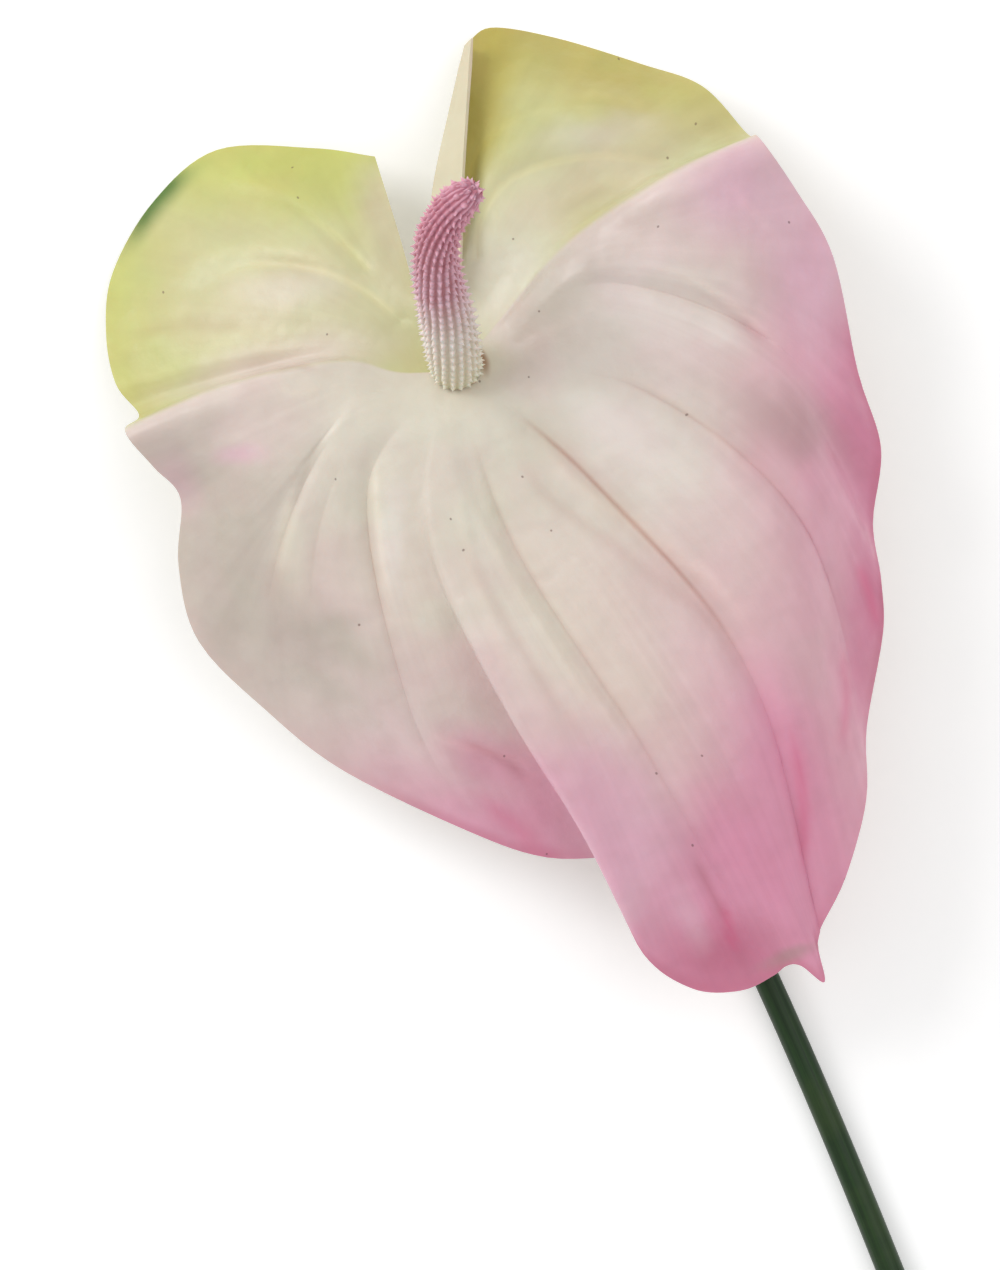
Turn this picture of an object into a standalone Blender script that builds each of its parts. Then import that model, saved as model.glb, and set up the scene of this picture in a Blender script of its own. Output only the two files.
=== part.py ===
"""A cut anthurium stem, lying face up: a heart-shaped spathe, its spadix, and the round green stem.

The flower is worked out in millimetres round the point where the stem passes through the spathe. X runs
across the flower, the stem lies towards -Y, and +Z is up, out of the spathe's face. At the end the pieces
are set down so that the whole object is centred over the origin with its lowest point at Z = 0.
"""

import math
from typing import NamedTuple

import bpy
import numpy as np

MM = 0.001

# The stem, in mm: its radius at the neck and at the cut, how far the cut slants, and the straight piece
# below the spathe
STEM_RADIUS = 2.6
STEM_BASE_RADIUS = 3.2
CUT_SLANT = 2.2
NECK_STRAIGHT = 4
STEM_SIDES = 16
STEM_RINGS = 44

# The spathe, in mm: the blade, its gap to the stem and the spadix, and the flat seat round the neck
BLADE_THICKNESS = 0.8
CLEARANCE = 0.3
NECK_RADIUS = STEM_RADIUS + CLEARANCE
SEAT_RADIUS = 6.3
SHOULDER_RADIUS = 8.4
GROOVE_FLOOR = 0.35

# The spathe's mesh: lines between two spokes, rows from neck to margin, and how they crowd to the neck
LINES_PER_SPAN = 2
BLADE_ROWS = 24
ROW_CROWDING = 1.15

# Shares of a spoke over which a vein comes in and dies out
VEIN_FADE_IN = 0.18
VEIN_FADE_OUT = 0.22

# The spadix, in mm, from its base to its tip, and the shares of it where the tip closes and the waist ends
SPADIX_RADII = (4.75, 4.9, 4.4, 3.6, 3.1)
FLORET_HEIGHTS = (1.1, 1.2, 1.2, 1.3, 1.6)
FLORETS_ROUND = 18
FLORET_RINGS = 28
FLORET_ROW_TWIST = 0.02
TIP_STARTS = 0.93
TIP_FLAT = 0.12
BASE_WAIST = 0.06
WAIST_ENDS = 0.06

# Places at which a smooth line is measured, for each of its points
LINE_STEPS = 60

# The way the top of the stem points where it carries the spadix
NECK_AXIS = np.array((0.13, 0.50, 0.86)) / np.linalg.norm((0.13, 0.50, 0.86))


class Spoke(NamedTuple):
    """One line of the blade from the neck out to the margin."""

    name: str
    neck_deg: float
    inner: tuple
    outer: tuple
    rim: tuple


# The blade is a fan of spokes, counted from the left side of the sinus, round by the tip, to its right
# side, with points in mm from the pole. A foot and a crest stand close together where the body folds over
# the blade behind it.
SPOKES = (
    Spoke("left sinus edge", 100, (-1.2, 17, -6), (0.8, 31.5, -14), (2.7, 47, -24)),
    Spoke("left lobe 1", 108, (-4.5, 18, -6.5), (-7, 35, -14), (-8, 53.8, -28)),
    Spoke("left lobe 2", 116, (-8, 19, -7), (-15, 38.5, -15), (-26, 61.7, -34)),
    Spoke("left lobe 3", 123, (-11, 18.5, -7), (-23.5, 37, -15), (-42, 57.4, -35)),
    Spoke("left lobe 4", 130, (-13.5, 17.5, -6.5), (-31.5, 32.5, -14.5), (-55.3, 47.6, -33)),
    Spoke("left lobe 5", 137, (-15.5, 16, -6), (-36.5, 27, -13.5), (-61.4, 37, -29)),
    Spoke("left lobe 6", 145, (-17.5, 14, -5.5), (-39.5, 21.5, -12.5), (-63.8, 26.5, -25)),
    Spoke("left pleat foot", 151, (-19, 12, -4.5), (-41, 16.8, -11.5), (-62, 18.5, -20)),
    Spoke("left pleat crest", 157, (-20, 10.5, -2), (-42.5, 15.5, 2), (-65.5, 16, 0)),
    Spoke("left wing 1", 165, (-20.5, 6.5, 1), (-42, 8, 4), (-63.2, 7.5, -3)),
    Spoke("left notch", 172, (-22, 3.5, 2.5), (-43, 1, 4), (-60.9, -0.5, -8)),
    Spoke("left wing 2", 177, (-24, 1.5, 3.5), (-46, -7, 3), (-66.8, -12.5, -12)),
    Spoke("left wing 3", 182, (-26.5, 0, 4), (-48, -14, 1.5), (-69.4, -28, -15)),
    Spoke("wing vein", 187, (-28, -2, 4.5), (-49, -21, 1), (-62.7, -46.2, -18)),
    Spoke("wing panel", 194, (-27.5, -7, 5), (-45, -29.5, 1.5), (-53.3, -63.8, -19)),
    Spoke("left vein", 203, (-26.5, -15.5, 5), (-35.7, -56, 1), (-34.6, -85.8, -18)),
    Spoke("left valley", 214, (-22.8, -22.5, 5.5), (-27, -61.5, 1), (-23, -96.3, -17)),
    Spoke("low pleat foot", 224, (-19.5, -28, 6), (-17.5, -66, 1), (-10.5, -101.8, -15)),
    Spoke("low pleat crest", 229, (-18, -31, 8), (-17.8, -68.5, 10), (-12.6, -102.5, -4)),
    Spoke("tip left 1", 238, (-13, -33.5, 8.5), (-11.8, -76, 12), (-13.2, -121.5, -5)),
    Spoke("tip left 2", 245, (-9.5, -35, 8), (-6, -81.3, 12.5), (-7.2, -132, -10)),
    Spoke("tip left 3", 251, (-6.6, -36.3, 7.5), (-1, -84.3, 12.8), (1.5, -136.4, -10)),
    Spoke("midrib", 258, (-3.6, -37.2, 7), (3.8, -86.3, 13), (8.6, -136.4, -10)),
    Spoke("tip hollow", 267, (1.2, -38.2, 7), (8.8, -87.3, 13), (12.2, -135.6, -9)),
    Spoke("hook left", 275, (5.5, -38, 7.3), (12.8, -87.3, 13), (14.8, -136.8, -8)),
    Spoke("hook", 280, (8.5, -37.3, 7.5), (16.3, -86.3, 12.5), (17.6, -141.7, -9)),
    Spoke("hook right", 285, (11.3, -35.5, 7.3), (20.8, -84.4, 12), (18.9, -136.2, -7)),
    Spoke("right vein", 294, (16.3, -32.3, 7), (28.8, -79, 10.5), (21, -131.8, -5)),
    Spoke("right panel 1", 306, (23.5, -29, 7.5), (36.8, -73.5, 10), (30, -124, -6)),
    Spoke("right panel 2", 318, (29, -23, 7), (44, -65, 9), (40, -111.7, -9)),
    Spoke("side vein", 332, (32.3, -18.5, 6), (50.4, -55, 7), (46, -98.7, -12)),
    Spoke("right side 1", 343, (34.5, -9, 6), (54.5, -45, 6), (57, -82.3, -13)),
    Spoke("right side 2", 350, (35, -4, 6), (57, -36, 5), (60.8, -72.6, -11)),
    Spoke("right notch", 357, (34.5, 0, 5.5), (58.5, -27, 5), (64, -61.6, -14)),
    Spoke("upper side vein", 363, (33, 4.5, 5), (58.5, -18, 5), (71.5, -48.5, -10)),
    Spoke("right side 3", 369, (33, 7.5, 5), (59.5, -9.5, 6), (73.6, -32.5, -12)),
    Spoke("right side 4", 375, (32.5, 10, 4), (59, 0, 7), (78.3, -9.5, -7)),
    Spoke("right side 5", 381, (31.5, 12, 2.5), (57.5, 8.5, 7.5), (76.8, 5.5, -2)),
    Spoke("right pleat crest", 387, (30, 13.5, -0.5), (54.5, 17.6, 7), (74.2, 17.8, 3)),
    Spoke("right pleat foot", 394, (27, 15.5, -4), (52.5, 20, -9), (73, 20.3, -16)),
    Spoke("right lobe 1", 403, (22.5, 19, -6), (47, 28, -12), (69, 33, -25)),
    Spoke("right lobe 2", 412, (17.5, 21.5, -6.5), (38.5, 36, -13), (59.8, 42.4, -32)),
    Spoke("right lobe 3", 421, (13, 22, -6.5), (29.5, 40, -14), (46, 54.6, -35)),
    Spoke("right lobe 4", 429, (9.5, 20.5, -6.5), (20, 38.5, -15), (34.7, 61.8, -33)),
    Spoke("right roll", 437, (5, 18.5, -5), (9.8, 34, -11), (28.6, 60.2, -28)),
    Spoke("right sinus edge", 444, (8.2, 17.2, -2.5), (16.8, 34.8, -7.5), (30.4, 61, -25)),
)
ROW_KNOTS = (0, 0.035, 0.065, 0.38, 0.70, 1)

# Impressed veins that run along a spoke: the depth, the half width, and the shares of the spoke where the
# groove has come in and where it starts to fade
SPOKE_VEINS = {
    "wing vein": (1.3, 2.8, 0.52, 0.60),
    "wing panel": (0.8, 2.2, 0.52, 0.58),
    "left vein": (2.2, 4.0, 0.33, 0.72),
    "low pleat foot": (0.8, 2.5, 0.35, 0.9),
    "midrib": (2.2, 3.8, 0.28, 0.88),
    "right vein": (2.9, 4.0, 0.25, 0.92),
    "side vein": (2.2, 3.8, 0.38, 0.76),
    "upper side vein": (1.6, 3.0, 0.48, 0.66),
}
# Veins that arch across the two lobes, by their points, with the depth, the half width, and the first and
# last spoke of the lobe
LEFT_LOBE = (0, 7)
RIGHT_LOBE = (38, 45)
LOBE_VEIN_SPAN = (0.28, 0.76)
LOBE_VEIN_POINTS = 24
LOBE_VEINS = (
    (((-6.2, 14), (-10, 22), (-15.9, 29.2), (-24.3, 34.8), (-32.3, 37.4), (-40, 36.3)), 1.3, 2.6, LEFT_LOBE),
    (((-7.9, 26.6), (-11.3, 35.4), (-15.4, 42.7), (-23.2, 49.8), (-30, 55)), 1.0, 2.4, LEFT_LOBE),
    (((13, 19.5), (16, 25), (25, 31), (34, 30.9), (42.3, 28.8), (57, 20.5)), 1.5, 2.8, RIGHT_LOBE),
    (((17, 31), (20.7, 37.6), (27.3, 41.2), (36.6, 41.6), (46.4, 38.5), (56, 32.5)), 1.1, 2.8, RIGHT_LOBE),
)

# The middle line of the spadix above the neck, and of the stem below it
SPADIX_LINE = (
    (0, 0, 0),
    (1.3, 5.1, 8.8),
    (2.6, 10.6, 15.8),
    (4.1, 18.2, 26),
    (6.8, 24.2, 34),
    (12.0, 28.4, 40.5),
    (17.6, 30.2, 43.3),
)
STEM_LINE = (
    (-0.8, -9, -13.5),
    (-0.2, -24, -24.5),
    (2.5, -48, -30.5),
    (5.5, -80, -32.3),
    (7.5, -136, -32.6),
    (6.3, -203, -32.5),
    (-1, -300, -32.3),
    (-14, -415, -32.2),
)


def spline(knots, points, at):
    """Smooth curve through points at their knots, read at the values in at."""
    knots = np.asarray(knots, float)
    points = np.asarray(points, float)
    at = np.asarray(at, float)
    gaps = np.diff(knots).reshape(-1, *[1] * (points.ndim - 1))
    chords = np.diff(points, axis=0) / gaps
    middle = (gaps[1:] * chords[:-1] + gaps[:-1] * chords[1:]) / (gaps[:-1] + gaps[1:])
    slopes = np.concatenate((chords[:1], middle, chords[-1:]))
    span = np.clip(np.searchsorted(knots, at, "right") - 1, 0, len(knots) - 2)
    wide = gaps[span]
    f = ((at - knots[span]) / np.diff(knots)[span]).reshape(-1, *[1] * (points.ndim - 1))
    start = (1 + 2 * f) * (1 - f) ** 2 * points[span] + f * (1 - f) ** 2 * wide * slopes[span]
    end = f**2 * (3 - 2 * f) * points[span + 1] - f**2 * (1 - f) * wide * slopes[span + 1]
    return start + end


def even_line(points, count):
    """Smooth line through points, read at evenly spaced places."""
    points = np.asarray(points, float)
    knots = np.concatenate(([0], np.cumsum(np.linalg.norm(np.diff(points, axis=0), axis=1))))
    fine = spline(knots, points, np.linspace(0, knots[-1], LINE_STEPS * len(points)))
    run = np.concatenate(([0], np.cumsum(np.linalg.norm(np.diff(fine, axis=0), axis=1))))
    even = np.linspace(0, run[-1], count)
    return np.stack([np.interp(even, run, column) for column in fine.T], axis=1)


def unit(vectors):
    """The same vectors at length 1."""
    return vectors / np.linalg.norm(vectors, axis=-1, keepdims=True)


def neck_ring(degrees, radius):
    """Point of a ring round the stem's top, in the plane square to the neck's axis."""
    across = unit(np.cross((0, 1, 0), NECK_AXIS))
    along = np.cross(NECK_AXIS, across)
    turn = math.radians(degrees)
    return radius * (math.cos(turn) * across + math.sin(turn) * along)


def spoke_points():
    """Control points of the fan: one row for each spoke, from the neck out to the margin."""
    rows = []
    for spoke in SPOKES:
        rings = [neck_ring(spoke.neck_deg, r) for r in (NECK_RADIUS, SEAT_RADIUS, SHOULDER_RADIUS)]
        rows.append((*rings, spoke.inner, spoke.outer, spoke.rim))
    return np.array(rows, float)


def fade_along(share, comes_in, starts_fading):
    """How much of a vein's depth is there at this share of its spoke."""
    rises = np.clip((share - comes_in + VEIN_FADE_IN) / VEIN_FADE_IN, 0, 1)
    fades = np.clip((starts_fading + VEIN_FADE_OUT - share) / VEIN_FADE_OUT, 0, 1)
    return rises * rises * (3 - 2 * rises) * fades * fades * (3 - 2 * fades)


def distance_to_line(points, line):
    """Distance in the XY plane from each of a grid's points to a line of short straight pieces."""
    nearest = np.full(points.shape[:-1], np.inf)
    for start, end in zip(line[:-1], line[1:]):
        along = end - start
        share = np.clip(((points - start) @ along) / (along @ along), 0, 1)
        away = points - start - share[..., None] * along
        nearest = np.minimum(nearest, np.hypot(away[..., 0], away[..., 1]))
    return nearest


def groove(away, depth, half_width):
    """Cross-section of a pressed-in vein, with the blade puffed up on both sides of it."""
    return depth * np.exp(-np.hypot(away, GROOVE_FLOOR) / half_width)


def blade_surface(fan_places, row_places):
    """Middle surface of the spathe as a grid of points, one row for each place round the fan."""
    spokes = range(len(SPOKES))
    by_spoke = spline(ROW_KNOTS, np.moveaxis(spoke_points(), 1, 0), row_places)
    grid = spline(spokes, np.moveaxis(by_spoke, 1, 0), fan_places)
    flat = grid[..., :2].copy()
    for place, spoke in enumerate(SPOKES):
        if spoke.name not in SPOKE_VEINS:
            continue
        depth, half_width, comes_in, starts_fading = SPOKE_VEINS[spoke.name]
        away = np.linalg.norm(flat - by_spoke[None, :, place, :2], axis=-1)
        grid[..., 2] -= groove(away, depth, half_width) * fade_along(row_places, comes_in, starts_fading)
    for points, depth, half_width, (first, last) in LOBE_VEINS:
        on_lobe = np.clip(fan_places - first, 0, 1) * np.clip(last - fan_places, 0, 1)
        held = on_lobe[:, None] * fade_along(row_places, *LOBE_VEIN_SPAN)
        away = distance_to_line(flat, even_line(points, LOBE_VEIN_POINTS))
        grid[..., 2] -= groove(away, depth, half_width) * held
    return grid


def grid_normals(grid):
    """Upward normals of a grid of points."""
    along = np.gradient(grid, axis=1)
    across = np.gradient(grid, axis=0)
    return unit(np.cross(along, across))


def new_object(name, points, faces, material):
    """Mesh object with its faces pointing out."""
    mesh = bpy.data.meshes.new(name)
    mesh.from_pydata((np.asarray(points) * MM).tolist(), [], faces)
    mesh.materials.append(material)
    mesh.shade_smooth()
    mesh.set_sharp_from_angle(angle=math.radians(50))
    made = bpy.data.objects.new(name, mesh)
    bpy.context.scene.collection.objects.link(made)
    return made


def finish(name, colour, roughness):
    """Principled material of a waxy plant surface."""
    material = bpy.data.materials.new(name)
    material.use_nodes = True
    shader = material.node_tree.nodes["Principled BSDF"]
    shader.inputs["Base Color"].default_value = (*colour, 1)
    shader.inputs["Roughness"].default_value = roughness
    shader.inputs["Metallic"].default_value = 0
    return material


def spathe():
    """The blade: both faces of the fan, split into triangles alike, and the edge strip round it."""
    fan_places = np.linspace(0, len(SPOKES) - 1, (len(SPOKES) - 1) * LINES_PER_SPAN + 1)
    outward = np.linspace(0, 1, BLADE_ROWS + 1) ** ROW_CROWDING
    middle = blade_surface(fan_places, outward)
    normals = grid_normals(middle)
    wide, high = middle.shape[:2]
    upper = middle + normals * BLADE_THICKNESS / 2
    lower = middle - normals * BLADE_THICKNESS / 2
    points = np.concatenate((upper.reshape(-1, 3), lower.reshape(-1, 3)))
    under = wide * high
    faces = []
    for i in range(wide - 1):
        for j in range(high - 1):
            a, b = i * high + j, (i + 1) * high + j
            faces += [(a, a + 1, b + 1), (a, b + 1, b)]
            faces += [(under + a, under + b + 1, under + a + 1), (under + a, under + b, under + b + 1)]
    rim = [i * high for i in range(wide)]
    rim += [(wide - 1) * high + j for j in range(1, high)]
    rim += [i * high + high - 1 for i in range(wide - 2, -1, -1)]
    rim += list(range(high - 2, 0, -1))
    for a, b in zip(rim, rim[1:] + rim[:1]):
        faces += [(a, b, under + b), (a, under + b, under + a)]
    return new_object("spathe", points, faces, finish("waxy spathe", (0.80, 0.62, 0.60), 0.4))


def frames_along(line):
    """Directions square to a line at each of its points, turned as little as possible."""
    forward = unit(np.gradient(line, axis=0))
    side = unit(np.cross(forward[0], (1.0, 0, 0)))
    sides = []
    for direction in forward:
        side = unit(side - direction * np.dot(side, direction))
        sides.append(side)
    sides = np.array(sides)
    return forward, sides, np.cross(forward, sides)


def closed_rings(rings):
    """Points and faces of a solid whose rings of points are joined in turn, with a fan at each end."""
    count, sides = rings.shape[:2]
    points = np.concatenate((rings.reshape(-1, 3), [rings[0].mean(0), rings[-1].mean(0)]))
    faces = []
    for k in range(count - 1):
        for i in range(sides):
            a, b = k * sides + i, k * sides + (i + 1) % sides
            faces += [(a, b, b + sides), (a, b + sides, a + sides)]
    last = (count - 1) * sides
    for i in range(sides):
        faces.append((count * sides, (i + 1) % sides, i))
        faces.append((count * sides + 1, last + i, last + (i + 1) % sides))
    return points, faces


def stem():
    """The stalk, from the face that carries the spadix down to its slanting cut end."""
    top = NECK_AXIS * BLADE_THICKNESS / 2
    line = even_line((top, top - NECK_AXIS * NECK_STRAIGHT, *STEM_LINE), STEM_RINGS)
    _, sides, others = frames_along(line)
    turns = np.linspace(0, 2 * math.pi, STEM_SIDES, endpoint=False)
    share = np.linspace(0, 1, STEM_RINGS)
    radii = STEM_RADIUS + (STEM_BASE_RADIUS - STEM_RADIUS) * share**2
    circle = np.cos(turns)[None, :, None] * sides[:, None] + np.sin(turns)[None, :, None] * others[:, None]
    rings = line[:, None] + radii[:, None, None] * circle
    rings[-1, :, 1] += CUT_SLANT * (rings[-1, :, 2] - line[-1, 2]) / STEM_BASE_RADIUS
    points, faces = closed_rings(rings)
    return new_object("stem", points, faces, finish("green stem", (0.06, 0.13, 0.035), 0.45))


def spadix():
    """The fleshy spike, its whole side drawn up into pointed florets that stand in slanting rows."""
    base = NECK_AXIS * (BLADE_THICKNESS / 2 + CLEARANCE)
    line = even_line([base + point for point in np.array(SPADIX_LINE, float)], 2 * FLORET_RINGS + 1)
    _, sides, others = frames_along(line)
    share = np.linspace(0, 1, len(line))
    radii = spline(np.linspace(0, 1, len(SPADIX_RADII)), SPADIX_RADII, share)
    heights = spline(np.linspace(0, 1, len(FLORET_HEIGHTS)), FLORET_HEIGHTS, share)
    past_tip = np.clip((share - TIP_STARTS) / (1 - TIP_STARTS), 0, 1)
    radii = radii * np.sqrt(np.clip(1 - past_tip**2, TIP_FLAT, 1))
    radii = radii * (1 - BASE_WAIST * np.clip(1 - share / WAIST_ENDS, 0, 1))
    rings = []
    for k in range(len(line)):
        start = k * FLORET_ROW_TWIST
        turns = start + np.arange(2 * FLORETS_ROUND) * math.pi / FLORETS_ROUND
        raised = heights[k] * (np.arange(2 * FLORETS_ROUND) % 2) * (k % 2)
        radius = (radii[k] + raised)[:, None]
        around = np.cos(turns)[:, None] * sides[k] + np.sin(turns)[:, None] * others[k]
        rings.append(line[k] + radius * around)
    points, faces = closed_rings(np.array(rings))
    return new_object("spadix", points, faces, finish("pink spadix", (0.62, 0.36, 0.36), 0.5))


def set_down(pieces):
    """Moves the pieces so that the whole is centred over the origin and touches Z = 0."""
    corners = np.array([vertex.co for piece in pieces for vertex in piece.data.vertices])
    low, high = corners.min(0), corners.max(0)
    shift = ((low[0] + high[0]) / 2, (low[1] + high[1]) / 2, low[2])
    for piece in pieces:
        piece.location = [-amount for amount in shift]


def main():
    """Clears the scene and builds the three pieces."""
    for old in list(bpy.data.objects):
        bpy.data.objects.remove(old)
    set_down([stem(), spathe(), spadix()])


main()
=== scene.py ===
"""Looks of a cut anthurium stem that lies face up on a pale floor.

The spathe, the spadix and the stem are rebuilt here as finer pieces that keep the form of their CAD solids.
Places on the flower are worked out in millimetres round the pole, the point where the stem passes through
the spathe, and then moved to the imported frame. Patches of colour are placed as they are seen from straight
above, in picture points of 0.2 mm.
"""

import logging
import math
from dataclasses import dataclass
from enum import Enum
from typing import Any, NamedTuple, Sequence, Union

import bpy
import numpy as np
from mathutils import Matrix, Vector


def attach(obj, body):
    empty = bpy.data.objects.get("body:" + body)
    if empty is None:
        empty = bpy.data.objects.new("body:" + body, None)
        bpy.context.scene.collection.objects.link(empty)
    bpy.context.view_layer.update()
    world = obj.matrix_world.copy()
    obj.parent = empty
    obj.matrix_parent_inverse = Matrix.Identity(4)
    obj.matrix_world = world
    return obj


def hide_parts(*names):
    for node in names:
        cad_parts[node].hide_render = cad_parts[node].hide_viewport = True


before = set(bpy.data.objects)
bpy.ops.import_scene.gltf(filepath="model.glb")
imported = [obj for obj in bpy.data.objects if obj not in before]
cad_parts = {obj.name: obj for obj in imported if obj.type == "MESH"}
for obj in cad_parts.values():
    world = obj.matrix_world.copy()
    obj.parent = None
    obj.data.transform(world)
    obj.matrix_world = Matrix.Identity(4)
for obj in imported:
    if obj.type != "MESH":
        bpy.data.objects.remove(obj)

MM = 0.001
Point = tuple[float, float, float]
Flat = tuple[float, float]
Colour = tuple[float, float, float, float]
Stops = tuple[tuple[float, Point], ...]
Value = Union["Wire", float, int, Sequence[float]]

log = logging.getLogger("anthurium")


# Lines and surfaces


def spline(knots: Any, points: Any, at: Any) -> np.ndarray:
    """Smooth curve through points.

    Args:
        knots: where along the curve each point stands.
        points: the points, or rows of points.
        at: the places at which the curve is read.

    Returns:
        One point for each place.
    """
    knots, points, at = (np.asarray(values, float) for values in (knots, points, at))
    gaps = np.diff(knots).reshape(-1, *[1] * (points.ndim - 1))
    chords = np.diff(points, axis=0) / gaps
    middle = (gaps[1:] * chords[:-1] + gaps[:-1] * chords[1:]) / (gaps[:-1] + gaps[1:])
    slopes = np.concatenate((chords[:1], middle, chords[-1:]))
    span = np.clip(np.searchsorted(knots, at, "right") - 1, 0, len(knots) - 2)
    wide = gaps[span]
    f = ((at - knots[span]) / np.diff(knots)[span]).reshape(-1, *[1] * (points.ndim - 1))
    start = (1 + 2 * f) * (1 - f) ** 2 * points[span] + f * (1 - f) ** 2 * wide * slopes[span]
    end = f**2 * (3 - 2 * f) * points[span + 1] - f**2 * (1 - f) * wide * slopes[span + 1]
    return start + end


def even_line(points: Any, count: int, steps: int = 60) -> np.ndarray:
    """Smooth line through points, read at evenly spaced places.

    Args:
        points: the points that the line passes through.
        count: how many places it is read at.
        steps: places at which it is measured, for each of its points.

    Returns:
        The points read from the line.
    """
    points = np.asarray(points, float)
    knots = np.concatenate(([0], np.cumsum(np.linalg.norm(np.diff(points, axis=0), axis=1))))
    fine = spline(knots, points, np.linspace(0, knots[-1], steps * len(points)))
    run = np.concatenate(([0], np.cumsum(np.linalg.norm(np.diff(fine, axis=0), axis=1))))
    even = np.linspace(0, run[-1], count)
    return np.stack([np.interp(even, run, column) for column in fine.T], axis=1)


def unit(vectors: np.ndarray) -> np.ndarray:
    """The same vectors at length 1."""
    return vectors / np.linalg.norm(vectors, axis=-1, keepdims=True)


def ease(values: np.ndarray) -> np.ndarray:
    """Shares from 0 to 1, eased at both ends."""
    held = np.clip(values, 0, 1)
    return held * held * (3 - 2 * held)


def frames_along(line: np.ndarray) -> tuple[np.ndarray, np.ndarray, np.ndarray]:
    """Directions along a line and square to it, turned as little as possible.

    Args:
        line: the points of the line.

    Returns:
        The forward, side and other direction at each point.
    """
    forward = unit(np.gradient(line, axis=0))
    side = unit(np.cross(forward[0], (1.0, 0, 0)))
    sides = []
    for direction in forward:
        side = unit(side - direction * np.dot(side, direction))
        sides.append(side)
    held = np.array(sides)
    return forward, held, np.cross(forward, held)


def nearest_on_line(points: np.ndarray, line: np.ndarray) -> tuple[np.ndarray, np.ndarray]:
    """Distance in the XY plane from a grid's points to a line, and the place on the line that is nearest.

    Args:
        points: the grid, with X and Y in its last axis.
        line: the points of the line, of which X and Y are read.

    Returns:
        The distance of each point, and the share of the line that lies before its nearest place.
    """
    nearest = np.full(points.shape[:-1], np.inf)
    passed = np.zeros(points.shape[:-1])
    for step, (start, end) in enumerate(zip(line[:-1, :2], line[1:, :2])):
        along = end - start
        share = np.clip(((points - start) @ along) / (along @ along), 0, 1)
        away = points - start - share[..., None] * along
        far = np.hypot(away[..., 0], away[..., 1])
        passed = np.where(far < nearest, (step + share) / (len(line) - 1), passed)
        nearest = np.minimum(nearest, far)
    return nearest, passed


# Where things are


@dataclass(frozen=True)
class Layout:
    """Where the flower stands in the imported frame, and how the picture looks at it."""

    pole: Point = (-0.00444666, 0.1776382, 0.03539315)
    picture_pole: Flat = (457, 372)
    picture_middle: Flat = (500, 635)
    picture_size: Flat = (1000, 1270)
    picture_point: float = 0.0002
    turn_deg: float = 24

    def right(self) -> Vector:
        """The picture's right-hand direction on the floor."""
        turn = math.radians(self.turn_deg)
        return Vector((math.cos(turn), -math.sin(turn), 0))

    def up(self) -> Vector:
        """The picture's upward direction on the floor."""
        turn = math.radians(self.turn_deg)
        return Vector((math.sin(turn), math.cos(turn), 0))

    def seen_at(self, x: float, y: float) -> Vector:
        """The place in the frame, at the pole's height, of a point of the picture.

        Args:
            x: picture points from the left.
            y: picture points from the top.

        Returns:
            The place in metres.
        """
        across = (x - self.picture_pole[0]) * self.picture_point
        down = (y - self.picture_pole[1]) * self.picture_point
        return Vector(self.pole) + self.right() * across - self.up() * down

    def flat_line(self, points: Sequence[Flat]) -> np.ndarray:
        """A line of the picture as millimetres round the pole."""
        return np.array([tuple((self.seen_at(*point) - Vector(self.pole)) / MM) for point in points])

    def placed(self, points: np.ndarray) -> np.ndarray:
        """Millimetres round the pole as metres in the frame."""
        return points * MM + np.array(self.pole)


LAYOUT = Layout()


# Node trees


class Wire:
    """One value in a node tree. Python's operators on it add Math nodes."""

    def __init__(self, bench: "Bench", socket: bpy.types.NodeSocket) -> None:
        """Holds an output socket and the bench that its node stands on."""
        self.bench = bench
        self.socket = socket

    def math(self, operation: str, first: Value, second: Value = 0.0) -> "Wire":
        """A Math node of this operation."""
        return self.bench.add("ShaderNodeMath", {"operation": operation}, {0: first, 1: second})

    def over(self, value: Value) -> "Wire":
        """1 where it is more than a value, and 0 elsewhere."""
        return self.math("GREATER_THAN", self, value)

    def other(self, name: str) -> "Wire":
        """Another output of the same node."""
        return Wire(self.bench, self.socket.node.outputs[name])

    def __add__(self, value: Value) -> "Wire":
        """Sum."""
        return self.math("ADD", self, value)

    def __radd__(self, value: Value) -> "Wire":
        """Sum, from the right."""
        return self.math("ADD", value, self)

    def __sub__(self, value: Value) -> "Wire":
        """Difference."""
        return self.math("SUBTRACT", self, value)

    def __rsub__(self, value: Value) -> "Wire":
        """Difference, from the right."""
        return self.math("SUBTRACT", value, self)

    def __mul__(self, value: Value) -> "Wire":
        """Product."""
        return self.math("MULTIPLY", self, value)

    def __rmul__(self, value: Value) -> "Wire":
        """Product, from the right."""
        return self.math("MULTIPLY", value, self)

    def __truediv__(self, value: Value) -> "Wire":
        """Quotient."""
        return self.math("DIVIDE", self, value)

    def __pow__(self, value: Value) -> "Wire":
        """Power."""
        return self.math("POWER", self, value)

    def __abs__(self) -> "Wire":
        """Size without its sign."""
        return self.math("ABSOLUTE", self)


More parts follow.
